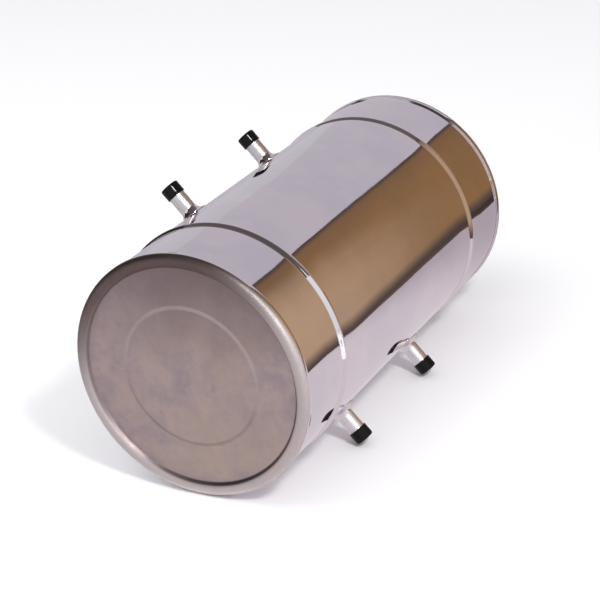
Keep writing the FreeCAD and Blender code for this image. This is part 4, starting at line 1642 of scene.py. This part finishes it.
@dataclass
class Lamp:
    """The twin-tube lamp with its base and four pins."""

    place: Clarifier
    tube_radius: float = 8.75 * MM
    tube_wall: float = 1.1 * MM
    pitch: float = 20.5 * MM
    bridge_radius: float = 5.25 * MM
    base_edge: float = 4.5 * MM
    pin_radius: float = 1.2 * MM
    pin_pitch: float = 8 * MM
    pins: int = 4

    def build(self) -> None:
        """Make the glass, the base and the pins."""
        self.glass()
        self.electrodes()
        self.base()
        self.pin_set()

    def glass(self) -> None:
        """Two limbs joined by a bridge near their round ends."""
        start, end = self.place.span("uv_lamp_tubes")
        radius = self.tube_radius
        bore = radius - self.tube_wall
        outline = arc_points((0.0, radius), radius, -90.0, 0.0, 10)
        outline += [(radius, end - start), (bore, end - start)]
        outline += arc_points((0.0, radius), bore, 0.0, -90.0, 8)
        pieces = []
        for side in (-0.5, 0.5):
            foot = self.place.axis(start).origin + Vector((0, 0, side * self.pitch))
            mesh = turned("limb", outline, Axis(foot, ALONG_Y), 48)
            pieces.append(dressed("limb", mesh, LAMP_GLASS))
        middle = self.place.axis(start + 2 * radius).origin
        span = self.pitch / 2 - bore * 0.8
        bridge = [(self.bridge_radius - self.tube_wall, -span), (self.bridge_radius, -span),
                  (self.bridge_radius, span), (self.bridge_radius - self.tube_wall, span)]
        mesh = turned("bridge", bridge, Axis(middle, Vector((0, 0, 1))), 32)
        pieces.append(dressed("bridge", mesh, LAMP_GLASS))
        mounted(joined("lamp_glass", pieces), "lamp_head", "quartz", "uv_lamp_tubes")

    def electrodes(self) -> None:
        """The coiled heater in each limb, on two wires from the base."""
        end = self.place.span("uv_lamp_tubes")[1]
        work = bpy.data.meshes.new("heater_path")
        vertices: list[Vector] = []
        edges: list[tuple[int, int]] = []
        for side in (-0.5, 0.5):
            centre = self.place.axis(end).origin + Vector((0, 0, side * self.pitch))
            first = len(vertices)
            vertices += [centre + Vector((-3 * MM, 0, 0)), centre + Vector((-3 * MM, -25 * MM, 0))]
            for k in range(61):
                turn = 2 * math.pi * k / 6
                vertices.append(centre + Vector((-3 * MM + 6 * MM * k / 60,
                                                 -26 * MM + 0.8 * MM * math.cos(turn),
                                                 0.8 * MM * math.sin(turn))))
            vertices += [centre + Vector((3 * MM, -25 * MM, 0)), centre + Vector((3 * MM, 0, 0))]
            edges += [(k, k + 1) for k in range(first, len(vertices) - 1)]
        work.from_pydata([tuple(v) for v in vertices], edges, [])
        tree = GeometryTree("wire_along_a_path")
        radius = tree.size("Wire Radius")
        path = tree.node("GeometryNodeMeshToCurve", None, {0: tree.source.outputs[0]})
        section = tree.node("GeometryNodeCurvePrimitiveCircle", None,
                            {"Resolution": 8, "Radius": radius})
        tree.close(tree.node("GeometryNodeCurveToMesh", None,
                             {0: path, "Profile Curve": section, "Fill Caps": True}), ZINC)
        piece = tree.build("lamp_heaters", work, ZINC, Wire_Radius=0.22 * MM)
        mounted(piece, "lamp_head", "zinc_steel")

    def base(self) -> None:
        """The white base that both limbs are cemented into."""
        low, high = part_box("lamp_base")
        piece = softened_box("lamp_base_look", low, high, self.base_edge, CERAMIC, 5)
        mounted(piece, "lamp_head", "lamp_ceramic", "lamp_base")

    def pin_set(self) -> None:
        """The four contact pins in a row."""
        start, end = self.place.span("lamp_pins")
        length = end - start
        outline = [(0.0, 0.0), (self.pin_radius, 0.0), (self.pin_radius, length - 0.8 * MM),
                   (self.pin_radius - 0.3 * MM, length - 0.2 * MM), (0.0, length)]
        first = self.place.axis(start).origin
        first -= Vector((0, 0, self.pin_pitch * (self.pins - 1) / 2))
        mesh = turned("pin", outline, Axis(first, ALONG_Y), 24)
        piece = row_tree("pins_in_a_row", BRASS).build(
            "lamp_pin_set", mesh, BRASS, Count=self.pins, Step=(0.0, 0.0, self.pin_pitch))
        mounted(piece, "lamp_head", "brass", "lamp_pins")


@dataclass
class HeadContents:
    """The lamp holder on its bracket, the choke with its winding, and the terminal block."""

    place: Clarifier
    sheet_pitch: float = 0.65 * MM
    sheet: float = 0.55 * MM
    wire_radius: float = 0.30 * MM
    post_place: float = 34 * MM
    screw_radius: float = 1.5 * MM
    ways: int = 4
    well_radius: float = 3 * MM
    well_depth: float = 8 * MM

    def build(self) -> None:
        """Make everything inside the casing."""
        self.holder()
        self.bracket()
        self.choke()
        self.winding()
        self.terminals()

    def holder(self) -> None:
        """The moulded holder that the lamp's pins plug into."""
        low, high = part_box("lamp_holder")
        block = softened_box("holder_block", low + Vector((0, 1.2 * MM, 0)), high, 1.2 * MM,
                             HOLDER, 3)
        lip = softened_box("holder_lip", low, Vector((high.x, low.y + 1.6 * MM, high.z)),
                           0.5 * MM, HOLDER, 2)
        mounted(joined("lamp_holder_look", [block, lip]), "lamp_head", "holder_plastic",
                "lamp_holder")

    def bracket(self) -> None:
        """The strap across the casing and its two screws."""
        low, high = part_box("holder_bracket")
        piece = softened_box("holder_bracket_look", low, high, 0.5 * MM, ZINC, 3)
        mounted(piece, "lamp_head", "zinc_steel", "holder_bracket")
        start, end = self.place.span("holder_screws")
        head = high.y - start
        length = end - start
        wide = self.screw_radius * 2
        outline = [(0.0, 0.0), (self.screw_radius, 0.6 * MM)]
        outline += threaded(self.screw_radius, 0.8 * MM, head - 0.4 * MM, 0.8 * MM, 0.25 * MM)
        outline += [(self.screw_radius, head), (wide, head), (wide, length - 0.9 * MM),
                    (wide - 0.4 * MM, length - 0.3 * MM), (wide - 1 * MM, length),
                    (0.8 * MM, length), (0.5 * MM, length - 0.9 * MM), (0.0, length - 1 * MM)]
        first = self.place.axis(start).origin - Vector((0, 0, self.post_place))
        mesh = turned("bracket_screw", outline, Axis(first, ALONG_Y), 32)
        piece = row_tree("bracket_screws_in_a_row", ZINC).build(
            "bracket_screws", mesh, ZINC, Count=2, Step=(0.0, 0.0, 2 * self.post_place))
        mounted(piece, "lamp_head", "zinc_steel", "holder_screws")

    def choke(self) -> None:
        """The stacked steel sheets of the choke, and the tie blocks at the coil's ends."""
        low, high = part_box("ballast_choke")
        coil_low, coil_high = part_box("choke_coil")
        depth = coil_high.x
        count = int((high.x - depth) / self.sheet_pitch)
        first = softened_box("sheet", Vector((depth, low.y, low.z)),
                             Vector((depth + self.sheet, high.y, high.z)), 0.12 * MM,
                             LAMINATION, 1)
        mesh = first.data
        bpy.data.objects.remove(first)
        stack = row_tree("sheets_in_a_stack", LAMINATION).build(
            "choke_sheets", mesh, LAMINATION, Count=count, Step=(self.sheet_pitch, 0.0, 0.0))
        ends = [softened_box("tie", Vector((low.x, low.y, low.z)),
                             Vector((depth, coil_low.y, high.z)), 0.6 * MM, LAMINATION),
                softened_box("tie", Vector((low.x, coil_high.y, low.z)),
                             Vector((depth, high.y, high.z)), 0.6 * MM, LAMINATION)]
        mounted(joined("choke_stack", [stack] + ends), "lamp_head", "choke_lacquer",
                "ballast_choke")

    def winding(self) -> None:
        """The turns of enamelled wire that show in the choke's window."""
        low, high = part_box("choke_coil")
        former = softened_box("former", low + Vector((0.5 * MM, 0, 0)), high, 0.4 * MM, COPPER)
        wire = self.wire_radius
        layer = low.x + wire
        outline = [(0.0, 0.0), (wire, 0.3 * MM), (wire, high.z - low.z - 0.3 * MM),
                   (0.0, high.z - low.z)]
        first = Vector((layer, low.y + wire, low.z))
        mesh = turned("strand", outline, Axis(first, Vector((0, 0, 1))), 10)
        count = int((high.y - low.y) / (2 * wire))
        turns = row_tree("strands_side_by_side", COPPER).build(
            "winding_turns", mesh, COPPER, Count=count, Step=(0.0, 2 * wire, 0.0))
        mounted(joined("choke_winding", [former, turns]), "lamp_head", "copper_winding",
                "choke_coil")

    def terminals(self) -> None:
        """The terminal block: a bar with a walled well and a slotted screw for each way."""
        low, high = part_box("terminal_block")
        pitch = (high.z - low.z) / self.ways
        middle = (low.x + high.x) / 2
        shoulder = high.y - self.well_depth
        bar = softened_box("terminal_bar", low, Vector((high.x, shoulder, high.z)), 0.8 * MM,
                           HOLDER)
        half = pitch / 2 - 0.5 * MM
        wall = self.well_radius
        outline = [(wall, 0.0), (half, 0.0), (half, self.well_depth - 0.5 * MM),
                   (half - 0.4 * MM, self.well_depth), (wall + 0.3 * MM, self.well_depth),
                   (wall, self.well_depth - 0.3 * MM)]

        def squared(radius: float, along: float, turn: float) -> Point:
            if radius < half - 0.5 * MM:
                return radius, along
            return min(radius * 1.25, radius / max(abs(math.cos(turn)), abs(math.sin(turn)))), along

        first = Vector((middle, shoulder, low.z + pitch / 2))
        mesh = turned("well", outline, Axis(first, ALONG_Y), 64, squared)
        wells = row_tree("wells_in_a_row", HOLDER).build(
            "terminal_wells", mesh, HOLDER, Count=self.ways, Step=(0.0, 0.0, pitch))
        mounted(joined("terminal_block_look", [bar, wells]), "lamp_head", "holder_plastic",
                "terminal_block")
        head = [(0.0, 0.0), (wall - 0.4 * MM, 0.0), (wall - 0.4 * MM, 1.6 * MM),
                (wall - 0.8 * MM, 2 * MM), (0.0, 2 * MM)]
        mesh = turned("terminal_screw", head, Axis(first, ALONG_Y), 32)
        piece = row_tree("terminal_screws_in_a_row", BRASS).build(
            "terminal_screws", mesh, BRASS, Count=self.ways, Step=(0.0, 0.0, pitch))
        mounted(piece, "lamp_head", "brass")


@dataclass
class CableGland:
    """The gland under the casing: hexagon body, rubber seal and clamping nut."""

    place: Clarifier
    radius: float = 6 * MM
    bore: float = 3.6 * MM
    hexagon: float = 9.5 * MM
    collar: float = 4 * MM
    seal_wall: float = 1.2 * MM
    nut_radius: float = 8.7 * MM
    nut_wall: float = 2.6 * MM
    nut_flats: int = 12

    def build(self) -> None:
        """Make the three pieces on the gland's own axis, which points at the ground."""
        mount = next(m for m in self.place.record["mounts"] if m["name"] == "cable_entry")
        x, y, _ = mount["pos_m"]
        axis = Axis(Vector((x, y, self.place.height)), Vector((0, 0, -1)))
        reach = {name: (self.place.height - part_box(name)[1].z, self.place.height
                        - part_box(name)[0].z) for name in ("gland_body", "gland_seal",
                                                          "gland_nut")}
        self.body(axis, *reach["gland_body"], reach["gland_seal"][0])
        self.seal(axis, *reach["gland_seal"])
        self.nut(axis, *reach["gland_nut"])

    def body(self, axis: Axis, start: float, end: float, collar_end: float) -> None:
        """The body with its hexagon collar and its outside thread.

        Args:
            axis: The gland's axis.
            start: The body's inner end along it.
            end: Its outer end.
            collar_end: Where the collar ends and the seal's seat starts.
        """
        seat = collar_end - self.collar
        seal = self.bore + self.seal_wall
        outline = [(self.bore, start)]
        outline += threaded(self.radius, start + 0.2 * MM, seat - 0.4 * MM, 1.4 * MM, 0.5 * MM)
        outline += [(self.radius, seat), (self.hexagon - 0.5 * MM, seat),
                    (self.hexagon, seat + 0.5 * MM), (self.hexagon, collar_end - 0.5 * MM),
                    (self.hexagon - 0.5 * MM, collar_end), (self.radius, collar_end)]
        outline += threaded(self.radius, collar_end + 0.6 * MM, end - 0.3 * MM, 1.4 * MM,
                            0.5 * MM)
        outline += [(self.radius - 0.4 * MM, end), (seal, end), (seal, collar_end),
                    (self.bore, collar_end)]

        def collared(radius: float, along: float, turn: float) -> Point:
            if radius > self.radius + 0.1 * MM:
                return hexed(radius, turn), along
            return radius, along

        mesh = turned("gland_body_look", outline, axis, 72, collared)
        mounted(dressed("gland_body_look", mesh, GRIP, 30.0), "lamp_head", "ring_plastic",
                "gland_body")

    def seal(self, axis: Axis, start: float, end: float) -> None:
        """The rubber sleeve that grips the lead."""
        outer = self.bore + self.seal_wall
        outline = eased([(self.bore, start), (outer, start), (outer, end), (self.bore, end)],
                        0.4 * MM, 3)
        mesh = turned("gland_seal_look", outline, axis, 48)
        mounted(dressed("gland_seal_look", mesh, RUBBER), "lamp_head", "seal_rubber",
                "gland_seal")

    def nut(self, axis: Axis, start: float, end: float) -> None:
        """The domed clamping nut with grip flats."""
        inside = end - self.nut_wall
        outer = self.nut_radius
        outline = [(self.radius, start), (outer - 0.4 * MM, start), (outer, start + 0.4 * MM),
                   (outer, end - 4 * MM)]
        outline += arc_points((outer - 3.4 * MM, end - 3.4 * MM), 3.4 * MM, 0.0, 90.0, 8)
        outline += [(self.bore + 0.4 * MM, end), (self.bore, end - 0.4 * MM),
                    (self.bore, inside), (self.radius, inside)]

        def gripped(radius: float, along: float, turn: float) -> Point:
            if radius > outer - 0.5 * MM and along < end - 3.5 * MM:
                return hexed(radius, turn, self.nut_flats), along
            return radius, along

        mesh = turned("gland_nut_look", outline, axis, 144, gripped)
        mounted(dressed("gland_nut_look", mesh, GRIP, 30.0), "gland_clamp", "ring_plastic",
                "gland_nut")


@dataclass
class EarthStud:
    """The threaded earth stud on the rear head, with its washer and two nuts."""

    place: Clarifier
    radius: float = 3 * MM
    nut_corner: float = 5.5 * MM
    nut_height: float = 3 * MM
    washer_radius: float = 6.5 * MM
    washer: float = 1.2 * MM
    nuts: int = 2

    def build(self) -> None:
        """Make the stud, the washer and the nuts."""
        low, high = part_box("earth_stud")
        foot = Vector(((low.x + high.x) / 2, low.y, (low.z + high.z) / 2))
        axis = Axis(foot, ALONG_Y)
        length = high.y - low.y
        outline = [(0.0, 0.0), (self.radius, 0.0)]
        outline += threaded(self.radius, 0.4 * MM, length - 0.6 * MM, 1 * MM, 0.35 * MM)
        outline += [(self.radius - 0.6 * MM, length), (0.0, length)]
        piece = dressed("earth_stud_look", turned("stud", outline, axis, 48), ZINC, 30.0)
        mounted(piece, "drum", "zinc_steel", "earth_stud")
        flat = eased([(self.radius, 0.0), (self.washer_radius, 0.0),
                      (self.washer_radius, self.washer), (self.radius, self.washer)],
                     0.25 * MM, 2)
        pieces = [dressed("washer", turned("washer", flat, axis, 48), ZINC)]

        def flats(radius: float, along: float, turn: float) -> Point:
            if radius > self.radius + 0.6 * MM:
                return min(radius, hexed(self.nut_corner, turn)), along
            return radius, along

        for k in range(self.nuts):
            start = self.washer + k * self.nut_height
            end = start + self.nut_height
            corner = self.nut_corner
            outline = [(self.radius, start), (corner - 0.8 * MM, start),
                       (corner, start + 0.45 * MM), (corner, end - 0.45 * MM),
                       (corner - 0.8 * MM, end), (self.radius, end)]
            pieces.append(dressed("nut", turned("nut", outline, axis, 72, flats), ZINC, 25.0))
        mounted(joined("earth_nut_set", pieces), "drum", "zinc_steel", "earth_nuts")


# --- Studio ---


@dataclass(frozen=True)
class GlowCard(Finish):
    """A lit card whose colour fades from its near end to its far end, along +Y."""

    near: Colour = (0.5, 0.5, 0.5)
    far: Colour = (0.5, 0.5, 0.5)
    start: float = 0.0
    end: float = 1.0
    border: Colour | None = None
    foot: float = 0.05
    head: float = 1.2

    def paint(self, tree: MaterialTree) -> None:
        """A dull black surface that glows unevenly, like cloth, with darker borders if any, the lowest of
        which is a painted shadow along its foot.
        """
        _, along, high = tree.axes(tree.place())
        cloud = tree.noise(3.0, 3.0)
        share = along.ramp(self.start, self.end) + (cloud - 0.5) * 0.25
        glow = tree.mix(share.ramp(0.0, 1.0), self.near, self.far)
        if self.border is not None:
            ragged = high + (tree.noise(5.0, 4.0, 0.6) - 0.5) * 0.12
            glow = tree.mix(ragged.ramp(self.head * 0.3, self.head) * 0.35, glow, self.border)
            glow = tree.mix(ragged.ramp(self.head * 0.82, self.head), glow, self.border)
            # Painted shadow: the glow darkens towards the card's foot, where it meets the floor.
            glow = tree.mix(high.ramp(0.0, self.foot, 1.0, 0.0) ** 0.7, glow, self.border)
        tree.set(Base_Color=(0.0, 0.0, 0.0), Roughness=0.9, Specular_IOR_Level=0.0,
                 Emission_Color=glow, Emission_Strength=1.0)


def direction(azimuth: float, elevation: float) -> Vector:
    """A direction seen from the object.

    Args:
        azimuth: Degrees round it, 0 at the front and 90 towards +X.
        elevation: Degrees above level.

    Returns:
        The unit vector that points there.
    """
    turn, rise = math.radians(azimuth), math.radians(elevation)
    return Vector((math.sin(turn) * math.cos(rise), -math.cos(turn) * math.cos(rise),
                   math.sin(rise)))


@dataclass
class Studio:
    """Pale floor, cards that the steel reflects, soft lights, world and camera."""

    place: Clarifier
    floor_size: float = 14.0
    ceiling: float = 1.6
    ground: float = 3 * MM
    azimuth: float = 28.184
    elevation: float = 23.945
    roll: float = -4.121
    distance: float = 2.2664
    aim: tuple[float, float, float] = (-0.00217, -0.06385, 0.12851)
    lens_mm: float = 106.42

    def build(self) -> None:
        """Set up everything round the object."""
        self.floor()
        self.cards()
        self.lights()
        self.world()
        self.camera()

    def floor(self) -> None:
        """A wide pale floor under the object."""
        half = self.floor_size / 2
        corners = [(-half, -half, 0.0), (half, -half, 0.0), (half, half, 0.0), (-half, half, 0.0)]
        mesh = bpy.data.meshes.new("floor")
        mesh.from_pydata(corners, [], [(0, 1, 2, 3)])
        dressed("floor", mesh, PaleFloor("pale_floor"))

    def _card(self, name: str, corners: Sequence[Sequence[float]], finish: Finish) -> None:
        """A four-cornered card that only mirrors can see."""
        mesh = bpy.data.meshes.new(name)
        mesh.from_pydata([tuple(c) for c in corners], [], [(0, 1, 2, 3)])
        card = dressed(name, mesh, finish)
        card.visible_camera = False
        card.visible_diffuse = False
        card.visible_shadow = False
        card.visible_transmission = False

    def _upright(self, finish: Finish, across: float, along: Point, high: Point) -> None:
        """A card that stands parallel to the drum.

        Args:
            finish: Its glow, which gives its name too.
            across: Its place along X.
            along: Where it starts and ends along Y.
            high: Its lower and upper edge.
        """
        self._card(finish.name, [(across, along[0], high[0]), (across, along[1], high[0]),
                                 (across, along[1], high[1]), (across, along[0], high[1])],
                   finish)

    def _level(self, name: str, finish: Finish, low: Point, high: Point, height: float) -> None:
        """A card that lies level.

        Args:
            name: Its name.
            finish: Its glow.
            low: Its lowest X and Y.
            high: Its highest X and Y.
            height: How high it lies.
        """
        self._card(name, [(low[0], low[1], height), (high[0], low[1], height),
                          (high[0], high[1], height), (low[0], high[1], height)], finish)

    def cards(self) -> None:
        """What the steel reflects: walls beside and behind, ceilings above, and the ground."""
        warm = GlowCard("warm_card", (0.53, 0.365, 0.240), (0.29, 0.160, 0.072), -0.05, 0.95,
                        (0.085, 0.062, 0.062), 0.11, 1.30)
        self._upright(warm, 0.5, (0.0, 3.0), (0.0, 1.35))
        dark = GlowCard("dark_card", (0.035, 0.022, 0.018), (0.05, 0.03, 0.02), -0.7, 0.1)
        self._upright(dark, -0.6, (-0.7, 0.08), (0.2, 0.7))
        back = GlowCard("back_card", (0.56, 0.52, 0.58), (0.56, 0.52, 0.58))
        self._card("back_card", [(-5.0, 4.0, 0.0), (3.4, 4.0, 0.0), (3.4, 4.0, 4.2),
                                 (-5.0, 4.0, 4.2)], back)
        ceiling = GlowCard("ceiling_card", (0.10, 0.078, 0.074), (0.16, 0.13, 0.13), -1.6, 1.3)
        self._level("ceiling_card", ceiling, (-2.4, -0.75), (1.6, 1.3), self.ceiling)
        self._level("front_ceiling_card", ceiling, (-2.4, -2.4), (0.75, -0.75), self.ceiling)
        beside = GlowCard("beside_card", (0.72, 0.65, 0.70), (0.49, 0.42, 0.465), 0.05, 0.6)
        self._level("beside_card", beside, (0.035, -0.34), (0.5, 0.12), self.ground)
        self._card("beyond_card", [(0.035, 0.12, self.ground), (0.5, 0.12, self.ground),
                                   (0.2, 2.0, self.ground), (0.035, 2.0, self.ground)], beside)
        # Painted shadow: a dark card on the ground along the warm card's foot, darker further along, that
        # the steel reflects.
        wedge = GlowCard("wedge_card", (0.13, 0.085, 0.062), (0.05, 0.034, 0.032), 0.3, 1.1)
        self._level("wedge_card", wedge, (0.035, 0.1), (0.5, 3.0), self.ground - 1 * MM)
        wall = GlowCard("wall_card", (0.56, 0.55, 0.59), (0.60, 0.58, 0.62), -2.0, 2.0)
        self._upright(wall, -2.4, (-2.2, 3.9), (0.0, self.ceiling))
        left = GlowCard("left_card", (0.52, 0.50, 0.56), (0.56, 0.52, 0.58), 0.0, 2.0)
        self._level("left_card", left, (-4.0, -0.34), (-0.035, 4.0), self.ground)
        before = GlowCard("before_card", (0.50, 0.47, 0.48), (0.72, 0.68, 0.68), -1.6, -0.4)
        self._level("before_card", before, (-2.0, -2.2), (1.2, -0.36), self.ground)

    def lights(self) -> None:
        """A key light for the caps' highlights, and a broad soft fill."""
        self._light("key", 50.0, 43.0, 2.5, 0.34, 30.0)
        fill = self._light("fill", -60.0, 50.0, 3.0, 2.4, 30.0)
        fill.visible_glossy = False

    def _light(self, name: str, azimuth: float, elevation: float, distance: float,
               size: float, power: float) -> bpy.types.Object:
        """A square area light that faces the object.

        Args:
            name: Its name.
            azimuth: Its direction round the object, 0 at the front and 90 towards +X.
            elevation: Its height above the floor in degrees.
            distance: How far off it is.
            size: Its side.
            power: Its watts.

        Returns:
            The light's object.
        """
        way = direction(azimuth, elevation)
        data = bpy.data.lights.new(name, "AREA")
        data.shape = "SQUARE"
        data.size = size
        data.energy = power
        lamp = bpy.data.objects.new(name, data)
        lamp.location = Vector((0, 0, self.place.height)) + way * distance
        lamp.rotation_euler = (-way).to_track_quat("-Z", "Y").to_euler()
        bpy.context.scene.collection.objects.link(lamp)
        return lamp

    def world(self) -> None:
        """A pale, even surround."""
        surround = bpy.data.worlds.new("studio_world")
        surround.use_nodes = True
        sky = surround.node_tree.nodes["Background"]
        sky.inputs["Color"].default_value = (0.86, 0.86, 0.88, 1.0)
        sky.inputs["Strength"].default_value = 1.0
        bpy.context.scene.world = surround

    def camera(self) -> None:
        """The camera, at the object's usual three-quarter view from its closed end."""
        back = direction(self.azimuth, self.elevation)
        data = bpy.data.cameras.new("view")
        data.lens = self.lens_mm
        data.sensor_width = 36.0
        data.clip_end = 60.0
        data.dof.use_dof = False
        view = bpy.data.objects.new("view", data)
        facing = back.to_track_quat("Z", "Y").to_matrix()
        spin = Matrix.Rotation(math.radians(self.roll), 3, "Z")
        view.matrix_world = (facing @ spin).to_4x4()
        view.location = Vector(self.aim) + back * self.distance
        bpy.context.scene.collection.objects.link(view)
        bpy.context.scene.camera = view
        bpy.context.scene.view_settings.view_transform = "Standard"


def main() -> None:
    """Build every sub-assembly in order, then the studio."""
    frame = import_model()
    place = Clarifier(frame)
    Drum(place).build()
    for name in ("upper_front", "upper_rear", "lower_front", "lower_rear"):
        Port(place, name).build()
    SleeveMounting(place).build()
    LampHead(place).build()
    LockingRing(place).build()
    Lamp(place).build()
    HeadContents(place).build()
    CableGland(place).build()
    EarthStud(place).build()
    Studio(place).build()


if __name__ == "__main__":
    main()
